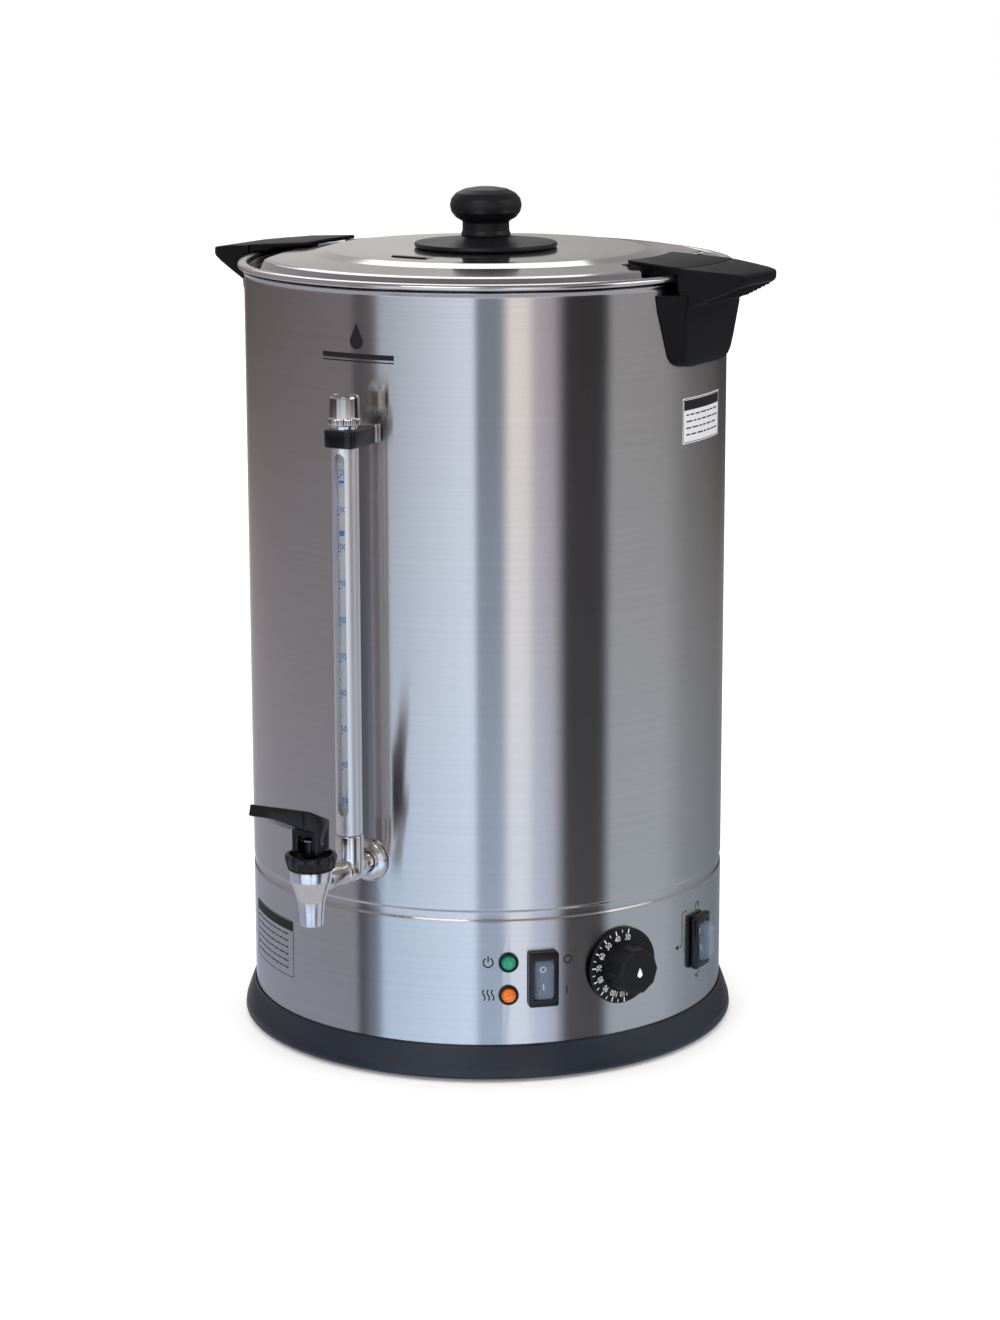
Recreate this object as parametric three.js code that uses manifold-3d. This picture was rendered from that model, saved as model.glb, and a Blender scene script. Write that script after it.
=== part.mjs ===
// Electric hot-water urn: a double-skinned stainless vessel with a twist-lock lid, a lever tap,
// a sight gauge, two handles and a thermostat with its switches.
// Units are millimetres. +Z is up, the tap faces -Y, and the handles lie along X.
// Heights are measured from the underside of the bottom cover; the feet stand 2 mm below it.
import * as THREE from 'three';
import { mergeVertices } from 'three/addons/utils/BufferGeometryUtils.js';
import Module from 'manifold-3d';

const wasm = await Module();
wasm.setup();

// ---------------------------------------------------------------- driving dimensions
const gap = 0.3;                  // clearance between pieces that touch
const footProud = 2;              // how far the feet stand below the bottom cover
const bodyRadius = 157.5;         // outside of the outer shell
const shellWall = 1.4;
const shellBottom = 3.9;
const shellTop = 500.8;
const grooveLow = 104;            // rolled groove at the level of the tank floor
const grooveHigh = 110;
const grooveDepth = 0.8;
const baseRadius = 164.9;         // outer edge of the flared base ring
const baseHeight = 21.7;
const ledgeLow = 1.8;             // inward ledge of the base ring
const ledgeHigh = 3.5;
const ledgeRadius = 143;
const plateHigh = 1.4;            // bottom cover, below that ledge
const tankRadius = 150;           // inside of the water tank
const tankWall = 1.2;
const tankFloor = 112;
const seatRadius = 154.3;         // collar that the lid's flange drops into
const seatHeight = 498.4;
const rimRadius = 161.8;          // rolled rim of the tank
const rimTop = 506.4;
const lidFlangeRadius = 153.4;    // its corners clear the collar's flats when the lid turns
const plateauRadius = 144.5;      // raised part of the lid
const plateauEdge = 509;
const lidCrown = 514.2;
const lidSheet = 1.3;
const handleAzimuth = 88.5;       // degrees from the tap, towards +X
const crease = 164.8;             // radius where a handle's tab meets its grip
const tapHeight = 139;            // axis of the tap's shank
const tapReach = 228;             // vertical axis of the tap
const gaugeReach = 181.5;         // vertical axis of the sight gauge
const bracketLow = 407.6;
const bracketHigh = 418.3;
const dialAzimuth = 61.3;
const dialHeight = 67;
const dialRadius = 25.1;
const powerAzimuth = 41.3;
const powerHeight = 64.8;
const selectorAzimuth = 89.6;
const selectorHeight = 66.3;
const lampAzimuth = 33.3;
const powerLampHeight = 76.3;
const heatingLampHeight = 54.7;
const inletAzimuth = 180;
const inletHeight = 52;
const fineSides = 72;             // facets where a handle follows a full-size ring
const bigSides = 36;              // facets of the full-size rings
const midSides = 24;
const smallSides = 16;

// ---------------------------------------------------------------- materials
function finish(color, roughness, metalness, opacity = 1) {
  return new THREE.MeshStandardMaterial({ color, roughness, metalness, opacity, transparent: opacity < 1 });
}
const brushedSteel = finish(0xa8a6a6, 0.35, 1);
const polishedSteel = finish(0xc9c7c6, 0.15, 1);
const springSteel = finish(0x9a9a98, 0.3, 1);
const aluminium = finish(0xb4b6b8, 0.45, 1);
const copper = finish(0xb06a45, 0.35, 1);
const brass = finish(0xb79a55, 0.35, 1);
const slatePlastic = finish(0x363b4a, 0.55, 0);
const blackPlastic = finish(0x1d1c1e, 0.45, 0);
const glossBlack = finish(0x101012, 0.2, 0);
const silicone = finish(0xd9d6cf, 0.7, 0);
const rubber = finish(0x1a1a1a, 0.9, 0);
const glass = finish(0xe4eef0, 0.05, 0, 0.35);
const clearBoot = finish(0xc8d4e0, 0.25, 0, 0.45);
const greenLens = finish(0x119a74, 0.15, 0);
const amberLens = finish(0xee7a1c, 0.15, 0);
const redPlastic = finish(0xb02020, 0.4, 0);
const rockerPlastic = finish(0x2b3448, 0.3, 0);

// ---------------------------------------------------------------- shape helpers
// A closed solid from a three.js geometry.
function solid(geometry) {
  const bare = geometry.clone();
  for (const name of Object.keys(bare.attributes)) {
    if (name !== 'position') bare.deleteAttribute(name);
  }
  const merged = mergeVertices(bare, 1e-3);
  const corners = merged.attributes.position.array;
  const index = merged.index.array;
  const faces = [];
  let volume = 0;
  for (let i = 0; i < index.length; i += 3) {
    const [a, b, c] = [index[i], index[i + 1], index[i + 2]];
    if (a === b || b === c || c === a) continue;
    faces.push(a, b, c);
    const [p, q, r] = [a, b, c].map((k) => new THREE.Vector3().fromArray(corners, 3 * k));
    volume += p.dot(q.cross(r));
  }
  if (volume < 0) faces.reverse();
  const mesh = new wasm.Mesh({
    numProp: 3,
    vertProperties: Float32Array.from(corners),
    triVerts: Uint32Array.from(faces),
  });
  return new wasm.Manifold(mesh);
}

function cut(base, ...tools) {
  return tools.reduce((rest, tool) => rest.subtract(solid(tool)), asSolid(base));
}

function join(base, ...others) {
  return others.reduce((whole, other) => whole.add(asSolid(other)), asSolid(base));
}

function asSolid(shape) {
  return shape instanceof THREE.BufferGeometry ? solid(shape) : shape;
}

function toGeometry(shape) {
  const mesh = asSolid(shape).getMesh();
  const geometry = new THREE.BufferGeometry();
  const corners = Float32Array.from(mesh.vertProperties);
  geometry.setAttribute('position', new THREE.BufferAttribute(corners, 3));
  geometry.setIndex(new THREE.BufferAttribute(Uint32Array.from(mesh.triVerts), 1));
  geometry.computeVertexNormals();
  return geometry;
}

// A profile of [radius, height] points turned about Z.
function turned(profile, sides = midSides) {
  const points = profile.map(([r, z]) => new THREE.Vector2(r, z));
  const onAxis = profile[0][0] === 0 && profile.at(-1)[0] === 0;
  if (!onAxis) points.push(points[0].clone());
  return new THREE.LatheGeometry(points, sides).rotateX(Math.PI / 2);
}

// A round bar or, with a bore, a round tube along Z.
function round(radius, low, high, sides = smallSides, bore = 0) {
  if (bore > 0) return turned([[bore, low], [radius, low], [radius, high], [bore, high]], sides);
  return turned([[0, low], [radius, low], [radius, high], [0, high]], sides);
}

function box(x0, x1, y0, y1, z0, z1) {
  return new THREE.BoxGeometry(x1 - x0, y1 - y0, z1 - z0)
    .translate((x0 + x1) / 2, (y0 + y1) / 2, (z0 + z1) / 2);
}

// An outline in the XY plane pushed from one height to another.
function slab(outline, low, high) {
  const shape = outline instanceof THREE.Shape
    ? outline
    : new THREE.Shape(outline.map(([x, y]) => new THREE.Vector2(x, y)));
  return new THREE.ExtrudeGeometry(shape, { depth: high - low, bevelEnabled: false, curveSegments: 5 })
    .translate(0, 0, low);
}

// An outline of [reach, height] points pushed sideways from -halfWidth to +halfWidth along Y.
function web(outline, halfWidth) {
  return slab(outline, -halfWidth, halfWidth).rotateX(Math.PI / 2);
}

// A round section swept along a curve.
function swept(points, radius, sides, steps) {
  const section = new THREE.Shape();
  for (let i = 0; i < sides; i += 1) {
    const angle = (2 * Math.PI * i) / sides;
    const [x, y] = [radius * Math.cos(angle), radius * Math.sin(angle)];
    if (i === 0) section.moveTo(x, y);
    else section.lineTo(x, y);
  }
  const path = new THREE.CatmullRomCurve3(points.map((p) => new THREE.Vector3(...p)));
  return new THREE.ExtrudeGeometry(section, { steps, extrudePath: path, curveSegments: 1 });
}

// A solid through a row of rings with the same number of [x, y, z] points each.
function loft(rings) {
  const count = rings[0].length;
  const corners = rings.flat(2);
  const faces = [];
  for (let ring = 0; ring + 1 < rings.length; ring += 1) {
    for (let i = 0; i < count; i += 1) {
      const [a, b] = [ring * count + i, ring * count + ((i + 1) % count)];
      faces.push(a, b, b + count, a, b + count, a + count);
    }
  }
  const last = (rings.length - 1) * count;
  for (let i = 1; i + 1 < count; i += 1) {
    faces.push(0, i + 1, i, last, last + i, last + i + 1);
  }
  const geometry = new THREE.BufferGeometry();
  geometry.setAttribute('position', new THREE.Float32BufferAttribute(corners, 3));
  geometry.setIndex(faces);
  return geometry;
}

function radians(degrees) {
  return (degrees * Math.PI) / 180;
}

// ---------------------------------------------------------------- scene graph
const group = new THREE.Group();

function node(name, shape, material, parent = group) {
  const mesh = new THREE.Mesh(toGeometry(shape), material);
  mesh.name = name;
  parent.add(mesh);
  return mesh;
}

// A frame on the outer shell: +X to the right of a person facing it, +Y up, +Z outwards.
function panelFrame(azimuth, height) {
  const turn = radians(azimuth);
  const right = new THREE.Vector3(Math.cos(turn), Math.sin(turn), 0);
  const up = new THREE.Vector3(0, 0, 1);
  const out = new THREE.Vector3(Math.sin(turn), -Math.cos(turn), 0);
  const frame = new THREE.Matrix4().makeBasis(right, up, out);
  return frame.setPosition(out.multiplyScalar(bodyRadius).setZ(height));
}

function panel(azimuth, height) {
  const holder = new THREE.Group();
  holder.applyMatrix4(panelFrame(azimuth, height));
  group.add(holder);
  return holder;
}

// ---------------------------------------------------------------- vessel
const hole = { lamp: 6, shaft: 5.3, shank: 7, switchX: 8.6, switchY: 16, inletX: 13.8, inletY: 10.3 };

function shellHole(azimuth, height, tool) {
  return tool.applyMatrix4(panelFrame(azimuth, height));
}

function makeOuterShell() {
  const inner = bodyRadius - shellWall;
  const profile = [
    [bodyRadius, shellBottom],
    [bodyRadius, grooveLow - 0.7],
    [bodyRadius - grooveDepth, grooveLow + 0.7],
    [bodyRadius - grooveDepth, grooveHigh - 0.7],
    [bodyRadius, grooveHigh + 0.7],
    [bodyRadius, shellTop - 3.2],
    [bodyRadius + 1.5, shellTop],
    [bodyRadius, shellTop],
    [inner, shellTop - 3.2],
    [inner, shellBottom],
  ];
  const through = (radius) => round(radius, -12, 8, 12);
  const window = (x, y) => box(-x, x, -y, y, -12, 8);
  return cut(
    turned(profile, bigSides),
    shellHole(0, tapHeight, through(hole.shank)),
    shellHole(lampAzimuth, powerLampHeight, through(hole.lamp)),
    shellHole(lampAzimuth, heatingLampHeight, through(hole.lamp)),
    shellHole(dialAzimuth, dialHeight, through(hole.shaft)),
    shellHole(powerAzimuth, powerHeight, window(hole.switchX, hole.switchY)),
    shellHole(selectorAzimuth, selectorHeight, window(hole.switchX, hole.switchY)),
    shellHole(inletAzimuth, inletHeight, window(hole.inletX, hole.inletY)),
  );
}

function makeInnerTank() {
  const outer = tankRadius + tankWall;
  const collar = seatRadius + tankWall;
  const profile = [
    [0, tankFloor],
    [tankRadius - 4, tankFloor],
    [tankRadius, tankFloor + 4],
    [tankRadius, seatHeight - 2.4],
    [tankRadius + 1, seatHeight],
    [seatRadius, seatHeight],
    [seatRadius, rimTop - 2.6],
    [seatRadius + 1.8, rimTop],
    [rimRadius - 1, rimTop],
    [rimRadius, rimTop - 2.2],
    [rimRadius - 1.4, rimTop - 4.2],
    [collar + 1.6, rimTop - 4],
    [collar, rimTop - 5.4],
    [collar, seatHeight - 1.2],
    [outer, seatHeight - 3.2],
    [outer, tankFloor + 3],
    [tankRadius - 3, tankFloor - tankWall],
    [0, tankFloor - tankWall],
  ];
  const shank = round(hole.shank, -30, 8, 12).applyMatrix4(panelFrame(0, tapHeight));
  return cut(turned(profile, bigSides), shank);
}

function makeBaseRing() {
  const bore = bodyRadius + 0.4;
  return cut(
    turned([
      [ledgeRadius, ledgeLow],
      [bore, ledgeLow],
      [baseRadius - 3.4, 0],
      [baseRadius - 0.4, 0],
      [baseRadius, 1.5],
      [baseRadius - 0.8, 7],
      [baseRadius - 3.6, 14.5],
      [bore + 0.7, baseHeight],
      [bore, baseHeight],
      [bore, ledgeHigh],
      [ledgeRadius, ledgeHigh],
    ], bigSides),
    ...screwPlaces.map((turn) => round(2.3, 0, 12, 8).translate(...polar(screwCircle, turn))),
  );
}

function polar(radius, azimuth) {
  const turn = radians(azimuth);
  return [radius * Math.sin(turn), -radius * Math.cos(turn), 0];
}

const footCircle = 126;
const footPlaces = [0, 120, 240];
const screwCircle = 149;
const screwPlaces = [60, 180, 300];
const resetPlace = [-52, 0];

function makeBasePlate() {
  const slots = [-24, -12, 0, 12, 24].map((y) => box(40, 78, y - 1.8, y + 1.8, -5, 10));
  return cut(
    round(bodyRadius - 1.2, 0, plateHigh, bigSides),
    ...slots,
    round(3.8, -5, 10, 12).translate(...resetPlace, 0),
    ...footPlaces.map((turn) => round(3.3, -5, 10, 12).translate(...polar(footCircle, turn))),
    ...screwPlaces.map((turn) => round(2.3, -5, 10, 8).translate(...polar(screwCircle, turn))),
  );
}

node('outer_shell', makeOuterShell(), brushedSteel);
node('inner_tank', makeInnerTank(), polishedSteel);
node('base_ring', makeBaseRing(), slatePlastic);
node('base_plate', makeBasePlate(), aluminium);
footPlaces.forEach((turn, i) => {
  const foot = turned([
    [0, -footProud], [9, -footProud], [10, -gap], [3, -gap], [3, plateHigh + 4], [0, plateHigh + 5],
  ], smallSides);
  node(`foot_${i + 1}`, foot.translate(...polar(footCircle, turn)), rubber);
});
screwPlaces.forEach((turn, i) => {
  const screw = turned([
    [0, -1.6], [3.8, -1.6], [3.8, -gap], [2, -gap], [2, 10], [0, 11],
  ], 10);
  node(`base_screw_${i + 1}`, screw.translate(...polar(screwCircle, turn)), polishedSteel);
});

// ---------------------------------------------------------------- heater and wiring
const heaterTop = tankFloor - tankWall - gap;
const heaterLow = heaterTop - 4;
const elementRadius = 4;
const elementCircle = 52;

function makeElement() {
  const level = heaterLow - 2 * gap - elementRadius;
  const points = [];
  for (let turn = 20; turn <= 340; turn += 20) {
    const [x, y] = polar(elementCircle, turn);
    points.push([x, y, level]);
  }
  const [x0, y0] = points[0];
  const [x1, y1] = points.at(-1);
  points.unshift([x0 - 6, y0 - 5, level - 16]);
  points.push([x1 + 6, y1 - 5, level - 16]);
  return swept(points, elementRadius, 8, 34);
}

function makeCapillary() {
  const radius = 2;
  const level = heaterTop - radius;
  const points = [[108, dialAzimuth, dialHeight + 15], [104, dialAzimuth + 2, dialHeight + 24],
    [96, dialAzimuth + 12, level - 6]];
  for (let turn = dialAzimuth + 26; turn < dialAzimuth + 90; turn += 12) points.push([90, turn, level]);
  return swept(points.map(([reach, turn, z]) => {
    const [x, y] = polar(reach, turn);
    return [x, y, z];
  }), radius, 8, 22);
}

node('heater_plate', round(70, heaterLow, heaterTop, midSides), aluminium);
node('heating_element', makeElement(), springSteel);
node('thermostat_bulb', makeCapillary(), copper);
const cutoutLow = plateHigh + 14;
const cutoutHeight = 18;
const cutoutHalf = { x: 15, y: 11 };
const cutoutLeg = 3;
const resetTop = cutoutLow - gap - 2.4;

function makeCutout() {
  const { x, y } = cutoutHalf;
  const legLow = plateHigh + gap;
  const leg = (x0) => box(x0, x0 + cutoutLeg, -y, y, legLow, cutoutLow + 1);
  const shapes = [box(-x, x, -y, y, cutoutLow, cutoutLow + cutoutHeight), leg(-x), leg(x - cutoutLeg)];
  return join(...shapes.map((shape) => shape.translate(...resetPlace, 0)));
}
node('boil_dry_cutout', makeCutout(), blackPlastic);
node('reset_button', turned([
  [0, -1.2], [3, -1.2], [3.4, -0.6], [3.4, plateHigh + 1], [4.8, plateHigh + 1], [4.8, plateHigh + 2.2],
  [3, resetTop - 1], [0, resetTop],
], 12).translate(...resetPlace, 0), redPlastic);

const terminalPitch = 16;
const terminalTop = plateHigh + 13;
const terminals = [-terminalPitch, 0, terminalPitch];
node('terminal_block', cut(
  box(-24, 24, 84, 98, plateHigh + gap, terminalTop),
  ...terminals.map((x) => box(x - 3, x + 3, 80, 88, plateHigh + 4, terminalTop - 3)),
  ...terminals.map((x) => round(2.2, terminalTop - 5, terminalTop + 7, 8).translate(x, 91, 0)),
), silicone);

// ---------------------------------------------------------------- mains inlet at the back
const inlet = panel(inletAzimuth, inletHeight);
node('inlet_socket', cut(
  join(box(-15.5, 15.5, -12, 12, 1, 3), box(-13.3, 13.3, -9.8, 9.8, -22, 1.5)),
  slab([[-11.6, -8], [11.6, -8], [11.6, 3.5], [7.5, 8], [-7.5, 8], [-11.6, 3.5]], -14, 5),
), blackPlastic, inlet);
[['neutral', -7, -1.6], ['earth', 0, 3.2], ['live', 7, -1.6]].forEach(([name, x, y]) => {
  node(`inlet_pin_${name}`, box(x - 1, x + 1, y - 2, y + 2, -14 + gap, -2), brass, inlet);
});

// ---------------------------------------------------------------- lamps
function lamp(name, height, lens) {
  const place = panel(lampAzimuth, height);
  node(`${name}_lamp_bezel`, turned([
    [5, -14], [5.7, -14], [5.7, 0.4], [6.45, 0.4], [6.45, 1.6], [5.6, 2.4], [5, 2.4],
  ], smallSides), glossBlack, place);
  node(`${name}_lamp_lens`, turned([
    [0, -17], [4.7, -17], [4.7, 2.2], [3.4, 3.8], [0, 4.6],
  ], smallSides), lens, place);
}
lamp('power', powerLampHeight, greenLens);
lamp('heating', heatingLampHeight, amberLens);

// ---------------------------------------------------------------- rocker switches with splash boots
const frameFront = 4.8;
const rockerPivot = -1;
const rockerTilt = 8;             // degrees each side of the middle

function bootRing(x, y, corner, z) {
  return [[x, -y + corner], [x, y - corner], [x - corner, y], [-x + corner, y],
    [-x, y - corner], [-x, -y + corner], [-x + corner, -y], [x - corner, -y]].map(([a, b]) => [a, b, z]);
}

function rockerSwitch(name, azimuth, height) {
  const place = panel(azimuth, height);
  node(`${name}_switch_frame`, cut(
    join(
      loft([bootRing(9.8, 18, 2, 0.6), bootRing(9.8, 18, 2, frameFront - 1),
        bootRing(9, 17.2, 2, frameFront)]),
      box(-8.1, 8.1, -15.5, 15.5, -24, 1),
    ),
    box(-6.9, 6.9, -13.2, 13.2, 2.4, 8),
    box(-6.3, 6.3, -12.2, 12.2, -6.5, 8),
  ), glossBlack, place);
  const rocker = new THREE.Group();
  rocker.position.z = rockerPivot;
  rocker.rotation.x = radians(-rockerTilt);
  place.add(rocker);
  const side = [[-10.8, 3.4], [-10.8, 0], [-4, -3], [4, -3], [10.8, 0], [10.8, 3.4], [0, 2.6]];
  const body = slab(side, -5, 5).applyMatrix4(
    new THREE.Matrix4().makeBasis(
      new THREE.Vector3(0, 1, 0), new THREE.Vector3(0, 0, 1), new THREE.Vector3(1, 0, 0),
    ),
  );
  node(`${name}_rocker`, body, rockerPlastic, rocker);
  const outer = loft([bootRing(6.6, 12.9, 2, 2.7), bootRing(6.4, 12.6, 2, 5.6),
    bootRing(4.9, 10.7, 1.6, 10.4), bootRing(4.3, 10.1, 1.4, 11)]);
  const inner = loft([bootRing(5.9, 12.2, 1.8, 2), bootRing(5.7, 11.9, 1.8, 5.4),
    bootRing(4.2, 10, 1.4, 9.8), bootRing(3.8, 9.6, 1.2, 10.2)]);
  node(`${name}_switch_boot`, cut(outer, inner), clearBoot, place);
}
rockerSwitch('power', powerAzimuth, powerHeight);
rockerSwitch('selector', selectorAzimuth, selectorHeight);

// ---------------------------------------------------------------- thermostat and its dial
const dial = panel(dialAzimuth, dialHeight);
node('thermostat_body', cut(
  join(box(-18, 18, -14, 14, -46, -16), round(4.8, -17, -1.9, 12)),
  round(3.4, -24, 4, 12),
), aluminium, dial);
node('thermostat_shaft', round(3, -23.5, 14, 12), brass, dial);

function makeDialKnob() {
  const lobes = 10;
  const section = (tip, root, z) => {
    const ring = [];
    for (let i = 0; i < 2 * lobes; i += 1) {
      const reach = i % 2 === 0 ? tip : root;
      const angle = (Math.PI * i) / lobes;
      ring.push([reach * Math.sin(angle), reach * Math.cos(angle), z]);
    }
    return ring;
  };
  const grip = loft([section(15.6, 14.6, 2.6), section(14.8, 13.9, 12), section(13.9, 13, 20.4),
    section(12.4, 12, 21.6)]);
  return cut(join(round(dialRadius, 1.1, 3, 32), grip), round(3.3, 0, 15, 12));
}
node('thermostat_knob', makeDialKnob(), blackPlastic, dial);

// ---------------------------------------------------------------- tap
// The tap is drawn with its outward direction along -Y.
function outward(geometry) {
  return geometry.rotateX(Math.PI / 2);
}

// A round bar or tube along the shank's axis, between two distances from the vessel's axis.
function shankRound(radius, from, to, sides = smallSides, bore = 0) {
  return outward(round(radius, from, to, sides, bore)).translate(0, 0, tapHeight);
}

const shankRadius = 6.5;
const shankBore = 4;
const shankEnd = tapReach - 16;
const socketTop = 162;

node('tap_flange', outward(turned([
  [shankRadius + 0.4, bodyRadius + 0.8], [13.6, bodyRadius + 0.8], [13.6, bodyRadius + 2.2],
  [11.6, bodyRadius + 4], [shankRadius + 0.4, bodyRadius + 4.6],
], midSides)).translate(0, 0, tapHeight), polishedSteel);

node('tap_shank', cut(
  join(
    shankRound(shankRadius, tankRadius - 17, shankEnd),
    shankRound(8.2, gaugeReach - 9, gaugeReach + 9),
    turned([[0, tapHeight - 6], [5, tapHeight - 6], [9, tapHeight - 1], [9, socketTop], [0, socketTop]],
      smallSides).translate(0, -gaugeReach, 0),
  ),
  shankRound(shankBore, tankRadius - 20, shankEnd + 4, 10),
  round(shankBore, tapHeight, socketTop + 4, 10).translate(0, -gaugeReach, 0),
  round(7.7, socketTop - 12, socketTop + 4, smallSides).translate(0, -gaugeReach, 0),
), polishedSteel);

node('tap_tank_seal', shankRound(12, tankRadius - 4.2, tankRadius - 1.3, smallSides, shankRadius + 0.3),
  silicone);
node('tap_tank_nut', cut(
  shankRound(11, tankRadius - 9.8, tankRadius - 4.5, 6),
  shankRound(shankRadius + 0.3, tankRadius - 12, tankRadius),
), polishedSteel);

const seatLevel = 133.5;
const bodyTop = 151;
node('tap_body', cut(
  join(
    turned([
      [0, 115], [7.2, 115], [7.9, 128.5], [9.4, 133.5], [12.7, 143], [13.3, bodyTop], [0, bodyTop],
    ], midSides).translate(0, -tapReach, 0),
    shankRound(6.8, shankEnd + gap, tapReach - 9),
  ),
  turned([
    [0, 110], [5.4, 110], [5.4, seatLevel], [8.6, seatLevel + 3], [8.6, bodyTop + 5], [0, bodyTop + 5],
  ], smallSides).translate(0, -tapReach, 0),
  shankRound(shankBore, shankEnd - 4, tapReach - 5, 10),
), polishedSteel);

const bonnetTop = 161;
const bonnetFloor = 157.5;
node('tap_bonnet', turned([
  [9.2, bodyTop + gap], [14.2, bodyTop + gap], [14.9, bodyTop + 3], [16.2, bonnetTop - 1.4],
  [15.8, bonnetTop], [13.8, bonnetTop], [13.4, bonnetFloor], [4.4, bonnetFloor], [4.4, bonnetTop + 2],
  [2.6, bonnetTop + 2], [2.6, bonnetFloor - 1.5], [9.2, bonnetFloor - 1.5],
], midSides).translate(0, -tapReach, 0), glossBlack);

const cupTop = 142.5;
const pinHeight = 168;
const stemEye = 3.6;
node('tap_seat_cup', turned([
  [0, seatLevel + 0.5], [4.9, seatLevel + 0.5], [7, seatLevel + 2.8], [7.6, seatLevel + 5],
  [7.6, cupTop], [2.6, cupTop], [2.6, cupTop - 2], [3.9, cupTop - 2], [3.9, seatLevel + 3], [0, seatLevel + 3],
], smallSides).translate(0, -tapReach, 0), silicone);

node('tap_stem', cut(
  join(
    turned([
      [0, seatLevel + 3.4], [3.5, seatLevel + 3.4], [3.5, cupTop - 2.4], [2.2, cupTop - 2.4],
      [2.2, pinHeight - 3], [0, pinHeight - 3],
    ], 12).translate(0, -tapReach, 0),
    web([[-stemEye, pinHeight - 3.6], [stemEye, pinHeight - 3.6], [stemEye, pinHeight + 1.6],
      [stemEye - 2, pinHeight + stemEye], [2 - stemEye, pinHeight + stemEye], [-stemEye, pinHeight + 1.6]],
    2.4).rotateZ(-Math.PI / 2).translate(0, -tapReach, 0),
  ),
  round(1.9, -6, 6, 10).rotateY(Math.PI / 2).translate(0, -tapReach, pinHeight),
), polishedSteel);

function makeSpring() {
  const [low, high, coil, turns, perTurn] = [cupTop + 0.9, bonnetFloor - 2.4, 5.3, 4, 9];
  const points = [];
  for (let i = 0; i <= turns * perTurn; i += 1) {
    const angle = (2 * Math.PI * i) / perTurn;
    const rise = low + ((high - low) * i) / (turns * perTurn);
    points.push([coil * Math.cos(angle), coil * Math.sin(angle) - tapReach, rise]);
  }
  return swept(points, 0.6, 5, turns * perTurn);
}
node('tap_spring', makeSpring(), springSteel);

// The lever: a block over the stem with a paddle that rises outwards.
const leverHalfWidth = 9;
const cheekInside = 5;
function makeLever() {
  const side = [
    [-7.5, 161.5], [7.5, 161.5], [7.5, 176.5], [18, 180.5], [29, 185.5], [43, 191.8], [58.5, 198],
    [56.5, 204.6], [32, 197], [14, 191.6], [-1, 184.7], [-8, 181.5],
  ];
  const narrow = [[20, 170], [70, 190], [70, 215], [20, 205]];
  const body = web(side, leverHalfWidth).rotateZ(-Math.PI / 2).translate(0, -tapReach, 0);
  const trim = (sign) => web(narrow, 1).rotateZ(-Math.PI / 2)
    .translate(sign * (leverHalfWidth - 0.5), -tapReach, 0);
  return cut(
    body,
    trim(1),
    trim(-1),
    box(-cheekInside, cheekInside, -tapReach - 12, -tapReach + 12, 150, pinHeight + 5.2),
    round(1.8, -12, 12, 10).rotateY(Math.PI / 2).translate(0, -tapReach, pinHeight),
  );
}
node('tap_lever', makeLever(), glossBlack);
node('tap_lever_pin', round(1.5, -8.6, 8.6, 10).rotateY(Math.PI / 2)
  .translate(0, -tapReach, pinHeight), polishedSteel);

// ---------------------------------------------------------------- sight gauge
const gaugeTube = (radius, low, high, bore, sides = smallSides) =>
  round(radius, low, high, sides, bore).translate(0, -gaugeReach, 0);
const shieldRadius = 8.35;
const shieldBore = 7.2;
const slotHalf = 3.9;             // the shield's slot, through which the level is read
const slotLow = 175;
const slotHigh = 404;

function makeShield() {
  const slot = new THREE.Shape();
  slot.absarc(0, slotLow + slotHalf, slotHalf, Math.PI, 2 * Math.PI);
  slot.absarc(0, slotHigh - slotHalf, slotHalf, 0, Math.PI);
  const tool = slab(slot, 0, 12).rotateX(Math.PI / 2).translate(0, -gaugeReach, 0);
  return cut(gaugeTube(shieldRadius, socketTop + gap, bracketHigh - 0.4, shieldBore, 20), tool);
}
node('gauge_glass', gaugeTube(5.4, socketTop - 11.7, bracketHigh + 2.6, 3.9), glass);
node('gauge_shield', makeShield(), aluminium);
node('gauge_lower_seal', gaugeTube(7.4, socketTop - 11.7, socketTop - 0.2, 5.7), silicone);

const standoffInner = bodyRadius + 0.4;
const standoffOuter = bodyRadius + 4.1;

function makeBracket() {
  const reach = 10.3;
  const back = gaugeReach - standoffOuter - gap;
  const outline = new THREE.Shape();
  outline.moveTo(reach, back);
  outline.absarc(0, 0, reach, 0, -Math.PI, true);
  outline.lineTo(-reach, back);
  return cut(
    slab(outline, bracketLow, bracketHigh).translate(0, -gaugeReach, 0),
    round(shieldRadius + 0.3, bracketLow - 2, bracketHigh + 2, 20).translate(0, -gaugeReach, 0),
  );
}
node('gauge_bracket', makeBracket(), glossBlack);
node('gauge_standoff', box(-9.6, 9.6, -standoffOuter, -standoffInner, bracketLow, bracketHigh),
  polishedSteel);

const capLow = bracketHigh + 0.4;
const capTop = 439.5;
node('gauge_cap_seal', gaugeTube(6.5, bracketHigh + 2.9, bracketHigh + 4.4, 2.2), silicone);
node('gauge_cap', turned([
  [6.9, capLow], [8.3, capLow], [8.3, capLow + 2.2], [10.2, capLow + 2.6], [10.2, capLow + 6.4],
  [9.4, capLow + 6.8], [9.2, capTop - 1], [8.4, capTop], [0, capTop], [0, bracketHigh + 4.8],
  [6.9, bracketHigh + 4.8],
], 20).translate(0, -gaugeReach, 0), polishedSteel);

// ---------------------------------------------------------------- handles
// Each handle is drawn along +X and turned into place. A grip hangs on the shell outside the rim;
// a tab reaches in over the rim and holds the lid down.
const wingOuter = 198.4;
const padTop = 494.5;

function wingSection(reach, halfWidth, top, bottom) {
  return [
    [reach, -halfWidth, bottom], [reach, halfWidth, bottom],
    [reach, halfWidth, top], [reach, -halfWidth, top],
  ];
}

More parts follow.
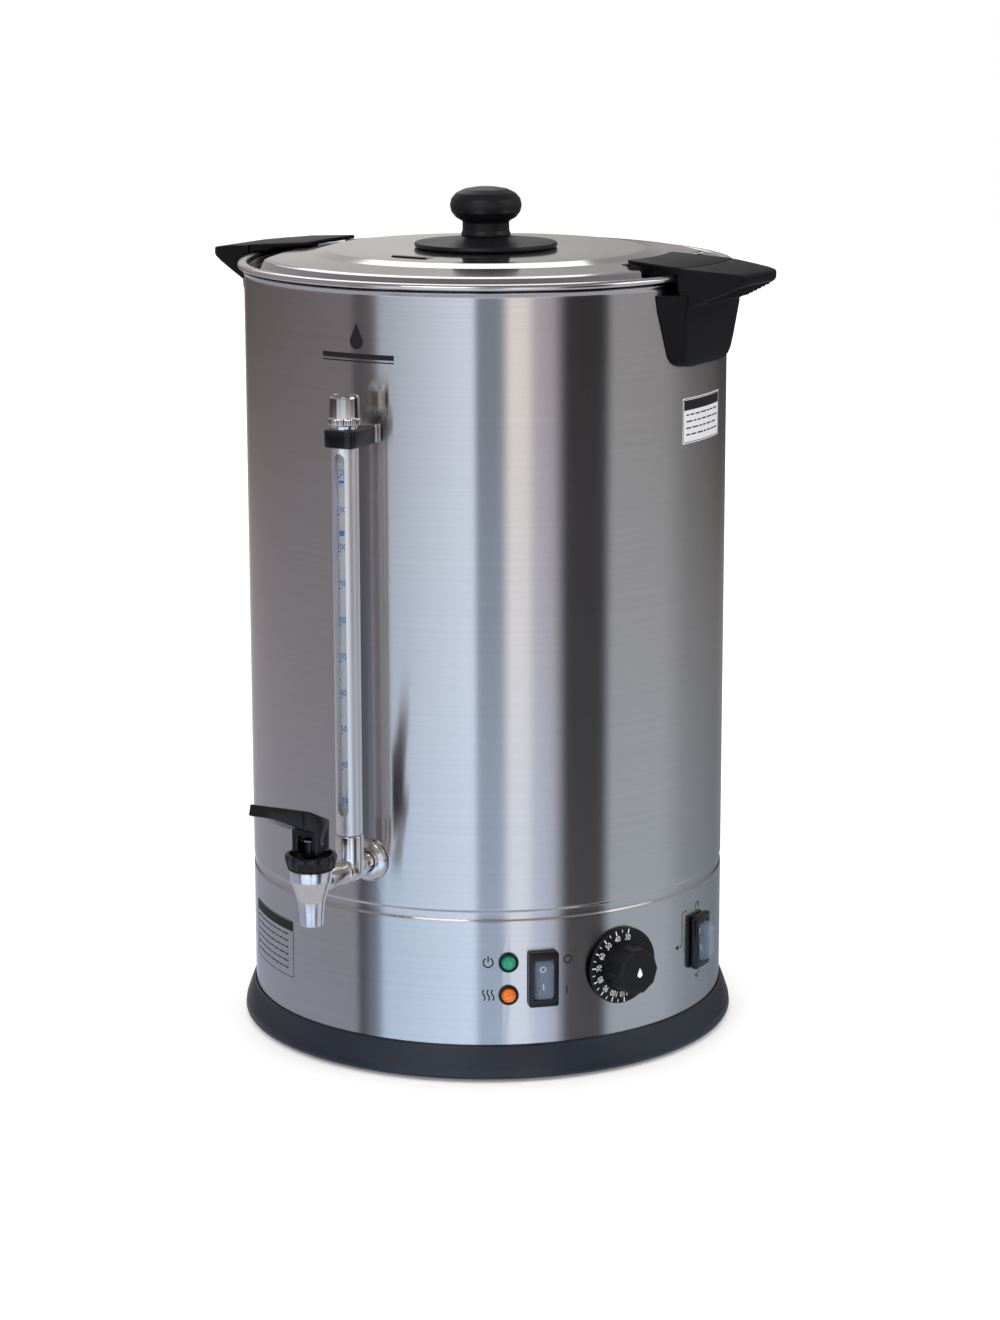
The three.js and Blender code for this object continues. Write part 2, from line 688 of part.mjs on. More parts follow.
function padSection(level, outer, halfOuter, halfInner) {
  const inner = 147;
  return [[inner, -halfInner, level], [outer, -halfOuter, level], [outer, halfOuter, level],
    [inner, halfInner, level]];
}

function makeGrip() {
  const wing = loft([
    wingSection(158, 39, 511.2, 482.2),
    wingSection(178, 32.4, 509.4, 491.2),
    wingSection(190, 28.3, 508.1, 496.8),
    wingSection(wingOuter - 2.2, 25.2, 507.2, 499.6),
    wingSection(wingOuter, 21.6, 505.9, 501.2),
  ]);
  const pad = loft([
    padSection(448, 160.2, 17, 26),
    padSection(450.5, 161.4, 26, 35),
    padSection(456, 162.6, 32.6, 42.5),
    padSection(484, 165.6, 38, 50),
    padSection(padTop, 166, 38.4, 51.5),
  ]);
  const vessel = turned([
    [0, 440], [bodyRadius + 0.5, 440], [bodyRadius + 0.5, padTop], [crease + 0.4, padTop],
    [crease + 0.4, 520], [0, 520],
  ], fineSides);
  return cut(join(wing, pad), vessel);
}

function makeTab() {
  const outline = [
    [119.4, -29], [121.4, -31.4], [140, -34.6], [170, -38.4], [170, 38.4], [140, 34.6],
    [121.4, 31.4], [119.4, 29], [122, 15], [123, 0], [122, -15],
  ];
  const top = [[100, 514.9], [123, 513.7], [crease, 510.9], [180, 509.6], [180, 530], [100, 530]];
  const profile = turned([[0, padTop + gap], [crease, padTop + gap], [crease, 520], [0, 520]], fineSides);
  const whole = solid(slab(outline, padTop - 5, 522)).intersect(solid(profile));
  return whole
    .subtract(solid(web(top, 60)))
    .subtract(solid(turned([[0, 480], [162.3, 480], [162.3, 507], [152, 507], [146, 509.6],
      [124, 511.5], [0, 511.5]], fineSides)));
}

function handle(side, azimuth) {
  const holder = new THREE.Group();
  holder.rotation.z = radians(azimuth - 90);
  group.add(holder);
  node(`handle_${side}_grip`, makeGrip(), blackPlastic, holder);
  node(`handle_${side}_tab`, makeTab(), blackPlastic, holder);
}
handle('right', handleAzimuth);
handle('left', handleAzimuth - 180);

// ---------------------------------------------------------------- lid
const screwBore = 2.6;
const stepOuter = [116, 511.2];
const stepInner = [103, 513.7];
const discTop = 521.3;
const knobTop = 553;

// Two opposite notches let the tabs pass when the lid is lifted. Turned a little further,
// the raised part of the lid slides under the tabs and is held.
function notch(side) {
  const outline = [
    [146, -66], [135.7, -48.1], [115.5, -36], [115.5, 33.6], [122.8, 33.6], [114.9, 83.4],
    [106, 124], [210, 124], [210, -66],
  ];
  return slab(outline.map(([x, y]) => [side * x, side * y]), 480, 530);
}

function makeLid() {
  const pan = turned([
    [screwBore, lidCrown], [stepInner[0], stepInner[1]], [stepOuter[0], stepOuter[1]],
    [plateauRadius - 1.5, plateauEdge], [plateauRadius, plateauEdge - 0.6],
    [151.4, seatHeight + gap + lidSheet], [lidFlangeRadius, seatHeight + gap + lidSheet],
    [lidFlangeRadius, seatHeight + gap], [150.8, seatHeight + gap],
    [plateauRadius - 1.2, plateauEdge - 2], [stepOuter[0], stepOuter[1] - lidSheet],
    [stepInner[0], stepInner[1] - lidSheet], [screwBore, lidCrown - lidSheet],
  ], bigSides);
  const ventTurn = radians(-6.5);
  const hood = web([[76, lidCrown - 0.6], [86, lidCrown + 2], [86, lidCrown + 0.9], [80, lidCrown - 0.9]], 15)
    .rotateZ(-Math.PI / 2 + ventTurn);
  const slot = box(-14, 14, -85.6, -81, 505, lidCrown + 0.2).rotateZ(ventTurn);
  return join(cut(pan, slot, notch(1), notch(-1)), hood);
}
node('lid', makeLid(), polishedSteel);
node('lid_knob_disc', turned([
  [screwBore, lidCrown + gap], [46, lidCrown + gap], [46.7, lidCrown + 1.2], [46.2, 517.2],
  [30, 519], [17, discTop], [screwBore, discTop],
], 32), blackPlastic);
node('lid_knob', turned([
  [0, 540], [screwBore, 540], [screwBore, discTop + gap], [16.6, discTop + gap], [15.1, 524.4],
  [15.3, 531], [19.4, 534.6], [22.7, 538.6], [23.3, 542], [21.6, 547.4], [15, 551.4], [0, knobTop],
], midSides), blackPlastic);
node('lid_knob_screw', turned([
  [0, lidCrown - lidSheet - 3], [5.6, lidCrown - lidSheet - 2.4], [5.6, lidCrown - lidSheet - gap],
  [2.2, lidCrown - lidSheet - gap], [2.2, 539], [0, 539.5],
], 12), polishedSteel);

export default group;
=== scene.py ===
import math

import bmesh
import bpy
from mathutils import Matrix, Vector


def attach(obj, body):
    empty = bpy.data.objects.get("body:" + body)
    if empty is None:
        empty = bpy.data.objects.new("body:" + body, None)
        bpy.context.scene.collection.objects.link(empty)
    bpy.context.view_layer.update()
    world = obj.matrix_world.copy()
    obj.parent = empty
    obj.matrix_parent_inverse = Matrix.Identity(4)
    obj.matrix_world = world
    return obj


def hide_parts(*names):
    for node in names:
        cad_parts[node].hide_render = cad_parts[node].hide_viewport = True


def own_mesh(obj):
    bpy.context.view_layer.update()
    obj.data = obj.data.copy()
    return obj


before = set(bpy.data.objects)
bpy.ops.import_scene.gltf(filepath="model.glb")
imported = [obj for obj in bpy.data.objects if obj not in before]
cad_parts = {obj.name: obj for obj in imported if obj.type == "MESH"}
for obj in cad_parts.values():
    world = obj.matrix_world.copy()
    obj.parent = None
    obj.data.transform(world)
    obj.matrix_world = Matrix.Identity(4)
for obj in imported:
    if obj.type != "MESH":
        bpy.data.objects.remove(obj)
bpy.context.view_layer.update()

# Looks of the electric hot-water urn. Lengths below are millimetres unless a name says otherwise,
# angles are degrees, and azimuth 0 faces the tap (-Y) and grows towards +X.
MM = 0.001
FINE = 192               # facets of the full-size rings
ROUND = 96               # facets of hand-size turned pieces
SMALL = 48               # facets of finger-size turned pieces

BODY_R = 157.5           # outer shell
TAP_Z = 139              # axis of the tap's shank
TAP_Y = 228              # vertical axis of the tap, in front of the vessel's axis
GAUGE_Y = 181.5          # vertical axis of the sight gauge
DIAL = (61.3, 67)        # azimuth and height of each thing on the control band
POWER = (41.3, 64.8)
SELECTOR = (89.6, 66.3)
POWER_LAMP = (33.3, 76.3)
HEATING_LAMP = (33.3, 54.7)
INLET = (180, 52)
SWITCH_HOLE = (8.6, 16)  # half width and half height of an opening in the shell
INLET_HOLE = (13.8, 10.3)
LAMP_HOLE, SHAFT_HOLE, SHANK_HOLE, WATERWAY = 6, 5.3, 7, 4          # radii of round holes
FOOT_HOLE, SCREW_HOLE, RESET_HOLE = 3.3, 2.3, 3.8
FEET_R, FEET_AT = 126, (0, 120, 240)               # circle and azimuths of the feet
SCREWS_R, SCREWS_AT = 149, (60, 180, 300)          # and of the bottom cover's screws
RESET_X = -52
FLOOR = -2               # where the feet stand
DIGITS = 3.9             # size of the numbers on the gauge and the dial
CAMERA_AZIMUTH = 28.5


# ---------------------------------------------------------------- shader nodes
def feed(tree, socket, value):
    """Gives a socket its value, or links it to another node's output."""
    if isinstance(value, (int, float, tuple)):
        socket.default_value = value
    else:
        tree.links.new(value, socket)


def ramped(tree, value, low, high, start, end):
    """The value, brought from low..high to start..end and held there outside it."""
    step = tree.nodes.new("ShaderNodeMapRange")
    for socket, given in zip(step.inputs, (value, low, high, start, end)):
        feed(tree, socket, given)
    return step.outputs[0]


def mixed(tree, factor, first, second, mode="MIX"):
    mix = tree.nodes.new("ShaderNodeMix")
    mix.data_type = "RGBA"
    mix.blend_type = mode
    for index, value in ((0, factor), (6, first), (7, second)):
        feed(tree, mix.inputs[index], value)
    return mix.outputs[2]


# ---------------------------------------------------------------- materials
def node_material(name):
    material = bpy.data.materials.new(name)
    material.use_nodes = True
    tree = material.node_tree
    return material, tree, tree.nodes["Principled BSDF"]


def stretched_noise(tree, grain, detail=4.0):
    """Noise with so many features a metre, along every axis or along each of three."""
    coords = tree.nodes.new("ShaderNodeTexCoord")
    mapping = tree.nodes.new("ShaderNodeMapping")
    noise = tree.nodes.new("ShaderNodeTexNoise")
    mapping.inputs["Scale"].default_value = grain if isinstance(grain, tuple) else (grain, grain, grain)
    noise.inputs["Scale"].default_value = 1.0
    noise.inputs["Detail"].default_value = detail
    tree.links.new(coords.outputs["Object"], mapping.inputs["Vector"])
    tree.links.new(mapping.outputs["Vector"], noise.inputs["Vector"])
    return noise.outputs["Fac"]


def span(tree, factor, low, high):
    """A noise, which stays within about 0.3..0.7, brought to low..high."""
    return ramped(tree, factor, 0.3, 0.7, low, high)


def tint(tree, factor, dark, light):
    return mixed(tree, span(tree, factor, 0, 1), (*dark, 1), (*light, 1))


def surface(name, color, roughness, metallic=0.0, grain=700, spread=0.08, wear=0.04,
            bump=0.1, **sockets):
    """Grain in the colour and relief, and broad soft wear in the roughness."""
    material, tree, shader = node_material(name)
    fine = stretched_noise(tree, grain)
    broad = stretched_noise(tree, (9, 9, 6), detail=2.0)
    dark = [c * (1 - spread) for c in color]
    light = [min(1.0, c * (1 + spread)) for c in color]
    relief = tree.nodes.new("ShaderNodeBump")
    relief.inputs["Strength"].default_value = bump
    relief.inputs["Distance"].default_value = 0.0002
    shader.inputs["Metallic"].default_value = metallic
    for socket, value in sockets.items():
        shader.inputs[socket.replace("_", " ")].default_value = value
    tree.links.new(tint(tree, fine, dark, light), shader.inputs["Base Color"])
    rough = span(tree, broad, roughness - wear, roughness + wear)
    tree.links.new(rough, shader.inputs["Roughness"])
    tree.links.new(fine, relief.inputs["Height"])
    tree.links.new(relief.outputs["Normal"], shader.inputs["Normal"])
    return material


def brushed(name, color, roughness, **more):
    """Steel brushed round the vessel's axis: its reflections are drawn out along that axis."""
    material = surface(name, color, roughness, metallic=1.0, Anisotropic=0.95,
                       Anisotropic_Rotation=0.25, **more)
    tree = material.node_tree
    tangent = tree.nodes.new("ShaderNodeTangent")
    tangent.direction_type = "RADIAL"
    tangent.axis = "Z"
    tree.links.new(tangent.outputs["Tangent"], tree.nodes["Principled BSDF"].inputs["Tangent"])
    return material


def clear(name, color, roughness, ior, alpha):
    """Thin clear plastic or glass, seen through without bending what is behind it."""
    material, tree, shader = node_material(name)
    cloud = stretched_noise(tree, (25, 25, 10), detail=1.0)
    tree.links.new(tint(tree, cloud, [0.9 * c for c in color], color), shader.inputs["Base Color"])
    tree.links.new(span(tree, cloud, roughness * 0.8, roughness * 1.2), shader.inputs["Roughness"])
    tree.links.new(span(tree, cloud, alpha * 0.9, alpha * 1.1), shader.inputs["Alpha"])
    shader.inputs["IOR"].default_value = ior
    shader.inputs["Coat Weight"].default_value = 0.5
    return material


def jewel(name, color, glow):
    """A moulded lamp lens with a lit core."""
    return surface(name, color, 0.12, spread=0.25, grain=420, bump=0.05, Coat_Weight=0.6,
                   Emission_Color=(*glow, 1), Emission_Strength=0.1, Subsurface_Weight=0.2)


SHELL_STEEL = brushed("shell_steel", (0.62, 0.605, 0.598), 0.17, grain=(4, 4, 520), spread=0.02, bump=0.005,
                      wear=0.012)
LID_STEEL = surface("lid_steel", (0.70, 0.69, 0.69), 0.1, 1.0, grain=(500, 8, 8), spread=0.02, bump=0.008,
                    wear=0.02)
POLISHED = surface("polished_steel", (0.72, 0.70, 0.70), 0.14, 1.0, grain=(60, 60, 900), spread=0.03,
                   bump=0.03)
CAST_STEEL = surface("tap_steel", (0.82, 0.80, 0.79), 0.17, 1.0, grain=500, spread=0.04, bump=0.04)
CHROME = surface("chrome", (0.68, 0.67, 0.66), 0.08, 1.0, grain=90, spread=0.02, bump=0.01)
SATIN = surface("satin_aluminium", (0.90, 0.89, 0.90), 0.4, 1.0, grain=(1300, 1300, 12), spread=0.05,
                bump=0.03)
PRESSED = surface("pressed_aluminium", (0.58, 0.58, 0.59), 0.38, 1.0, grain=160, bump=0.12)
SPRING = surface("spring_steel", (0.40, 0.39, 0.38), 0.3, 1.0, grain=(800, 800, 200))
COPPER = surface("copper", (0.68, 0.34, 0.20), 0.3, 1.0, grain=300)
BRASS = surface("brass", (0.66, 0.50, 0.22), 0.28, 1.0, grain=400)
SLATE = surface("slate_plastic", (0.010, 0.015, 0.027), 0.34, grain=1500, spread=0.2, bump=0.14,
                Specular_IOR_Level=0.5)
SATIN_BLACK = surface("satin_black", (0.0032, 0.0026, 0.0032), 0.5, grain=1900, spread=0.25,
                      bump=0.22, Specular_IOR_Level=0.17)
KNOB_BLACK = surface("knob_black", (0.0045, 0.005, 0.0065), 0.42, grain=1600, spread=0.2,
                     bump=0.12, Specular_IOR_Level=0.35)
GLOSS_BLACK = surface("gloss_black", (0.004, 0.004, 0.006), 0.2, grain=500, spread=0.2, bump=0.03,
                      Specular_IOR_Level=0.4)
ROCKER = surface("rocker_blue", (0.012, 0.017, 0.032), 0.25, grain=500, bump=0.04)
RUBBER = surface("foot_rubber", (0.010, 0.010, 0.010), 0.75, grain=900, spread=0.3, bump=0.4)
SILICONE = surface("silicone", (0.62, 0.60, 0.55), 0.5, Subsurface_Weight=0.15)
RED = surface("red_plastic", (0.42, 0.015, 0.012), 0.3)
GREEN_LENS = jewel("green_lens", (0.003, 0.20, 0.11), (0.01, 0.50, 0.26))
AMBER_LENS = jewel("amber_lens", (0.70, 0.13, 0.004), (1.0, 0.25, 0.015))
GLASS = clear("gauge_glass", (0.92, 0.96, 1.0), 0.04, 1.47, 0.07)
BOOT = clear("clear_boot", (0.30, 0.37, 0.52), 0.12, 1.42, 0.2)
BACKING = surface("gauge_white", (0.82, 0.87, 1.0), 0.4, grain=300, bump=0.05)
BLACK_INK = surface("black_ink", (0.008, 0.008, 0.009), 0.5, grain=2500, spread=0.35, bump=0.2,
                    Specular_IOR_Level=0.3)
WHITE_INK = surface("white_ink", (0.80, 0.80, 0.82), 0.5, grain=2500, spread=0.08, bump=0.2)
BLUE_INK = surface("blue_ink", (0.003, 0.10, 0.36), 0.4, grain=2500, spread=0.2, bump=0.1)
LABEL = surface("label_white", (0.62, 0.62, 0.64), 0.4, grain=1200, spread=0.04, bump=0.08)


# ---------------------------------------------------------------- places
def unit(azimuth):
    turn = math.radians(azimuth)
    return math.sin(turn), -math.cos(turn)


def at(x=0.0, y=0.0, z=0.0):
    return Matrix.Translation((x, y, z))


def panel(azimuth, height, radius=BODY_R):
    """A frame on the shell: +X to the right of a person facing it, +Y up, +Z outwards."""
    out_x, out_y = unit(azimuth)
    place = Matrix(((-out_y, 0, out_x), (out_x, 0, out_y), (0, 1, 0))).to_4x4()
    return at(out_x * radius, out_y * radius, height) @ place


def on_circle(radius, azimuth):
    x, y = unit(azimuth)
    return at(radius * x, radius * y)


OUTWARD = panel(0, TAP_Z, 0)                       # along the tap's shank, from the vessel's axis
TAP = at(0, -TAP_Y, 0)
GAUGE = at(0, -GAUGE_Y, 0)


# ---------------------------------------------------------------- shapes
def added(name, data):
    """A new object in the scene."""
    thing = bpy.data.objects.new(name, data)
    bpy.context.scene.collection.objects.link(thing)
    return thing


def make(name, points, faces, place=Matrix()):
    """A mesh from points in millimetres, with its faces turned outwards."""
    mesh = bpy.data.meshes.new(name)
    scaled = [tuple(MM * c for c in place @ Vector(p)) for p in points]
    mesh.from_pydata(scaled, [], faces)
    return edit(added(name, mesh), lambda form: bmesh.ops.recalc_face_normals(form, faces=form.faces))


def edit(piece, change):
    form = bmesh.new()
    form.from_mesh(piece.data)
    change(form)
    form.to_mesh(piece.data)
    form.free()
    return piece


def soften(points, radius, closed=True, steps=4):
    """The outline with each corner turned into an arc. A point's third number is its own radius."""
    count = len(points)
    result = []
    for i, point in enumerate(points):
        here = Vector(point[:2])
        size = point[2] if len(point) > 2 else radius
        if (not closed and i in (0, count - 1)) or size <= 0:
            result.append(tuple(here))
            continue
        before = Vector(points[i - 1][:2]) - here
        after = Vector(points[(i + 1) % count][:2]) - here
        turn = before.angle(after)
        reach = min(size / math.tan(turn / 2), 0.48 * before.length, 0.48 * after.length)
        if reach < 0.02 or turn > math.radians(174):
            result.append(tuple(here))
            continue
        start = here + before.normalized() * reach
        end = here + after.normalized() * reach
        for k in range(steps + 1):
            t = k / steps
            spot = start * (1 - t) ** 2 + here * 2 * t * (1 - t) + end * t ** 2
            result.append(tuple(spot))
    return result


def lathe(name, profile, sides=ROUND, soft=0.0, place=Matrix(), wave=None):
    """The profile of (radius, height) turned about Z. wave(angle, radius, height) may change the radius."""
    closed = not (profile[0][0] == 0 and profile[-1][0] == 0)
    outline = soften(profile, soft, closed) if soft else [p[:2] for p in profile]
    points, rings = [], []
    for r, z in outline:
        if r < 1e-6:
            rings.append([len(points)] * sides)
            points.append((0, 0, z))
            continue
        rings.append(range(len(points), len(points) + sides))
        for k in range(sides):
            angle = 2 * math.pi * k / sides
            reach = wave(angle, r, z) if wave else r
            points.append((reach * math.cos(angle), reach * math.sin(angle), z))
    faces = []
    pairs = zip(rings, rings[1:] + rings[:1]) if closed else zip(rings, rings[1:])
    for low, high in pairs:
        for k in range(sides):
            n = (k + 1) % sides
            corners = dict.fromkeys((low[k], low[n], high[n], high[k]))
            if len(corners) > 2:
                faces.append(tuple(corners))
    return make(name, points, faces, place)


def slab(name, outline, low, high, place=Matrix(), edge=0.0):
    """An outline of (x, y) pushed from low to high, with rounded rims."""
    count = len(outline)
    points = [(x, y, low) for x, y in outline] + [(x, y, high) for x, y in outline]
    faces = [tuple(range(count))[::-1], tuple(range(count, 2 * count))]
    faces += [(k, (k + 1) % count, count + (k + 1) % count, count + k) for k in range(count)]
    piece = make(name, points, faces)
    if edge:
        bevel(piece, edge)
    piece.data.transform(Matrix.Scale(MM, 4) @ place @ Matrix.Scale(1 / MM, 4))
    return piece


def loft(name, rings, place=Matrix()):
    """A solid through a row of rings with the same number of (x, y, z) points each."""
    count = len(rings[0])
    points = [point for ring in rings for point in ring]
    faces = [tuple(range(count)), tuple(range(len(points) - count, len(points)))]
    for low in range(0, len(points) - count, count):
        faces += [(low + k, low + (k + 1) % count, low + (k + 1) % count + count, low + k + count)
                  for k in range(count)]
    return make(name, points, faces, place)


def block(x0, x1, y0, y1):
    return [(x0, y0), (x1, y0), (x1, y1), (x0, y1)]


def oval(half_x, half_y, corner):
    return soften(block(-half_x, half_x, -half_y, half_y), corner, steps=6)


def circle(radius, sides=SMALL, x=0.0, y=0.0):
    angles = [2 * math.pi * k / sides for k in range(sides)]
    return [(x + radius * math.cos(a), y + radius * math.sin(a)) for a in angles]


def bevel(piece, width, angle=28, segments=3):
    """Rounds every edge that is sharper than the angle."""
    def change(form):
        sharp = [e for e in form.edges if len(e.link_faces) == 2
                 and e.calc_face_angle(0) > math.radians(angle)]
        bmesh.ops.bevel(form, geom=sharp, offset=width * MM, offset_type="OFFSET", segments=segments,
                        profile=0.5, affect="EDGES", clamp_overlap=True)
    return edit(piece, change)


def refined(name, node, width, material, body="root", segments=3):
    """Shows a CAD node's shape with its flats whole and its edges rounded."""
    piece = added(name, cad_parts[node].data.copy())

    def whole(form):
        bmesh.ops.remove_doubles(form, verts=form.verts, dist=1e-6)
        bmesh.ops.dissolve_limit(form, angle_limit=math.radians(1.5), verts=form.verts, edges=form.edges)
    edit(piece, whole)
    return show(bevel(piece, width, segments=segments), material, body, [node])


def combine(piece, operation, tools):
    for tool in tools:
        step = piece.modifiers.new("combine", "BOOLEAN")
        step.operation = operation
        step.solver = "EXACT"
        step.object = tool
    bpy.context.view_layer.update()
    shaped = bpy.data.meshes.new_from_object(piece.evaluated_get(bpy.context.evaluated_depsgraph_get()))
    piece.modifiers.clear()
    piece.data = shaped
    for tool in tools:
        bpy.data.objects.remove(tool)
    return piece


def cut(piece, *tools):
    return combine(piece, "DIFFERENCE", tools)


def join(piece, *others):
    return combine(piece, "UNION", others)


def merge(name, pieces):
    """Several closed meshes as one piece."""
    form = bmesh.new()
    for piece in pieces:
        form.from_mesh(piece.data)
        bpy.data.objects.remove(piece)
    mesh = bpy.data.meshes.new(name)
    form.to_mesh(mesh)
    form.free()
    return added(name, mesh)


def show(piece, material, body="root", replaces=(), sharp=32):
    """Gives a finished piece its material, its shading and the body it moves with."""
    piece.data.materials.clear()
    piece.data.materials.append(material)
    piece.data.polygons.foreach_set("use_smooth", [True] * len(piece.data.polygons))
    piece.data.set_sharp_from_angle(angle=math.radians(sharp))
    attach(piece, body)
    if replaces:
        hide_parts(*replaces)
    return piece


# ---------------------------------------------------------------- printing
def wrapped(radius, azimuth, height):
    """Maps (x, y, depth) on a flat print onto a cylinder about the vessel's axis."""
    def place(x, y, depth):
        out_x, out_y = unit(azimuth + math.degrees(x / radius))
        return (radius + depth) * out_x, (radius + depth) * out_y, height + y
    return place


def flat(matrix):
    def place(x, y, depth):
        return matrix @ Vector((x, y, depth))
    return place


def strip(x0, x1, y0, y1, step=3.0):
    """A filled rectangle, split so that it can follow a curve."""
    count = max(1, round((x1 - x0) / step))
    xs = [x0 + (x1 - x0) * k / count for k in range(count + 1)]
    points = [(x, y) for x in xs for y in (y0, y1)]
    faces = [(2 * k, 2 * k + 2, 2 * k + 3, 2 * k + 1) for k in range(count)]
    return points, faces


def stroke(path, width, closed=False):
    """A line of even width along a path."""
    count = len(path)
    points, faces = [], []
    for k, here in enumerate(path):
        before = path[k - 1] if closed or k else here
        after = path[(k + 1) % count] if closed or k + 1 < count else here
        along = (Vector(after) - Vector(before)).normalized() * (width / 2)
        points += [(here[0] - along.y, here[1] + along.x), (here[0] + along.y, here[1] - along.x)]
    for k in range(count if closed else count - 1):
        n = (k + 1) % count
        faces.append((2 * k, 2 * k + 1, 2 * n + 1, 2 * n))
    return points, faces


def arc(radius, start, end, x=0.0, y=0.0, steps=24):
    angles = [math.radians(start + (end - start) * k / steps) for k in range(steps + 1)]
    return [(x + radius * math.cos(a), y + radius * math.sin(a)) for a in angles]


def filled(outline):
    return list(outline), [tuple(range(len(outline)))]


def shifted(shape, x=0.0, y=0.0, turn=0.0, size=1.0):
    c, s = size * math.cos(math.radians(turn)), size * math.sin(math.radians(turn))
    points, faces = shape
    return [(x + c * px - s * py, y + s * px + c * py) for px, py in points], faces


def number(text, size, width=0.8):
    """A number's shape, centred, with digits about size tall and a width relative to the font's own."""
    curve = bpy.data.curves.new("number", "FONT")
    curve.body = text
    curve.align_x = "CENTER"
    curve.align_y = "CENTER"
    curve.size = size * 1.4
    curve.resolution_u = 3
    holder = added("number", curve)
    bpy.context.view_layer.update()
    mesh = holder.to_mesh()
    shape = [(width * v.co.x, v.co.y) for v in mesh.vertices], [tuple(p.vertices) for p in mesh.polygons]
    bpy.data.objects.remove(holder)
    return shape


def printed(name, shapes, place, material, body="root", lift=0.06, depth=0.1):
    """Flat shapes laid on a surface as a thin film of ink or foil."""
    points, faces = [], []
    for shape_points, shape_faces in shapes:
        start = len(points)
        points += [place(x, y, lift) for x, y in shape_points]
        faces += [tuple(start + k for k in face) for face in shape_faces]
    film = make(name, points, faces)

    def thicken(form):
        bmesh.ops.remove_doubles(form, verts=form.verts, dist=1e-7)
        bmesh.ops.recalc_face_normals(form, faces=form.faces)
        middle = Vector(place(0, 0, 0)) * MM
        outer = Vector(place(0, 0, 1)) * MM
        facing = sum(f.normal.dot(outer - middle) * f.calc_area() for f in form.faces)
        if facing < 0:
            bmesh.ops.reverse_faces(form, faces=form.faces)
        bmesh.ops.solidify(form, geom=form.faces[:], thickness=depth * MM)
        bmesh.ops.recalc_face_normals(form, faces=form.faces)
    edit(film, thicken)
    return show(film, material, body)


# ---------------------------------------------------------------- vessel
def window(half, spot):
    return slab("tool", block(-half[0], half[0], -half[1], half[1]), -16, 16, panel(*spot))


def bore(radius, place, low=-16, high=16, sides=SMALL):
    return slab("tool", circle(radius, sides), low, high, place)


def make_vessel():
    shell = lathe("shell", [
        (BODY_R, 3.9), (BODY_R, 5), (BODY_R, 101.5), (BODY_R, 103.2, 1.5), (156.8, 104.6, 1.2),
        (156.8, 109.2, 1.2), (BODY_R, 110.6, 1.5), (BODY_R, 112.3), (BODY_R, 496), (BODY_R, 498.2, 2),
        (159, 500.8), (157.6, 500.8), (156.1, 498.4, 2), (156.1, 3.9),
    ], FINE, soft=0.5)
    cut(shell, window(SWITCH_HOLE, POWER), window(SWITCH_HOLE, SELECTOR), window(INLET_HOLE, INLET),
        bore(LAMP_HOLE, panel(*POWER_LAMP)), bore(LAMP_HOLE, panel(*HEATING_LAMP)),
        bore(SHAFT_HOLE, panel(*DIAL)), bore(SHANK_HOLE, panel(0, TAP_Z)))
    show(shell, SHELL_STEEL, replaces=["outer_shell"])

    tank = lathe("tank", [
        (0, 112), (146, 112, 4), (150, 116, 4), (150, 496.6), (151, 498.4), (154.3, 498.4), (154.3, 503.6),
        (155.6, 506.2, 2), (158.6, 506.4, 3), (161.8, 505.6, 2.2), (161.8, 502.4, 1.6), (157.4, 502.2, 1.4),
        (156.2, 501, 1), (155.5, 497.2), (151.2, 496.4), (151.2, 114.8, 3), (147, 110.8, 3), (0, 110.8),
    ], FINE, soft=0.6)
    cut(tank, bore(SHANK_HOLE, panel(0, TAP_Z), -30, 8))
    show(tank, POLISHED, replaces=["inner_tank"])

    ring = lathe("base", [
        (143, 1.8), (157.4, 1.8), (160.6, 0, 1), (163.6, 0, 3), (164.9, 2.4, 3), (164.3, 7, 4), (162, 14, 8),
        (159.5, 20.6, 1), (157.9, 21.7, 0.6), (157.9, 3.5), (143, 3.5),
    ], FINE, soft=0.5)
    show(ring, SLATE, replaces=["base_ring"])

    plate = lathe("bottom_cover", [
        (0, 0), (60, 0), (62, 0.5), (66, 0.5), (68, 0), (156.3, 0), (156.3, 1.4), (0, 1.4),
    ], FINE, soft=0.4)
    slots = [slab("tool", soften(block(40, 78, y - 1.8, y + 1.8), 1.7), -5, 5) for y in (-24, -12, 0, 12, 24)]
    feet = [bore(FOOT_HOLE, on_circle(FEET_R, azimuth)) for azimuth in FEET_AT]
    screws = [bore(SCREW_HOLE, on_circle(SCREWS_R, azimuth)) for azimuth in SCREWS_AT]
    cut(plate, *slots, *feet, *screws, bore(RESET_HOLE, at(RESET_X)))
    show(plate, PRESSED, replaces=["base_plate"])


def make_fixings():
    for i, azimuth in enumerate(FEET_AT):
        foot = lathe(f"rubber_foot_{i + 1}", [
            (0, -1.7), (6.4, -1.7), (7, FLOOR), (8.6, FLOOR, 0.8), (9.6, -0.3, 0.4), (3, -0.3), (3, 5.4),
            (0, 6.4),
        ], SMALL, soft=0.3, place=on_circle(FEET_R, azimuth))
        show(foot, RUBBER, replaces=[f"foot_{i + 1}"])
    for i, azimuth in enumerate(SCREWS_AT):
        place = on_circle(SCREWS_R, azimuth)
        screw = lathe(f"cover_screw_{i + 1}", [
            (0, -1.6), (2.6, -1.6, 1.4), (3.8, -0.7, 0.5), (3.8, -0.3), (2, -0.3), (2, 10), (0, 11),
        ], SMALL, soft=0.3, place=place)
        cut(screw, slab("tool", block(-2.4, 2.4, -0.4, 0.4), -2.4, -0.9, place),
            slab("tool", block(-0.4, 0.4, -2.4, 2.4), -2.4, -0.9, place))
        show(screw, POLISHED, replaces=[f"base_screw_{i + 1}"])


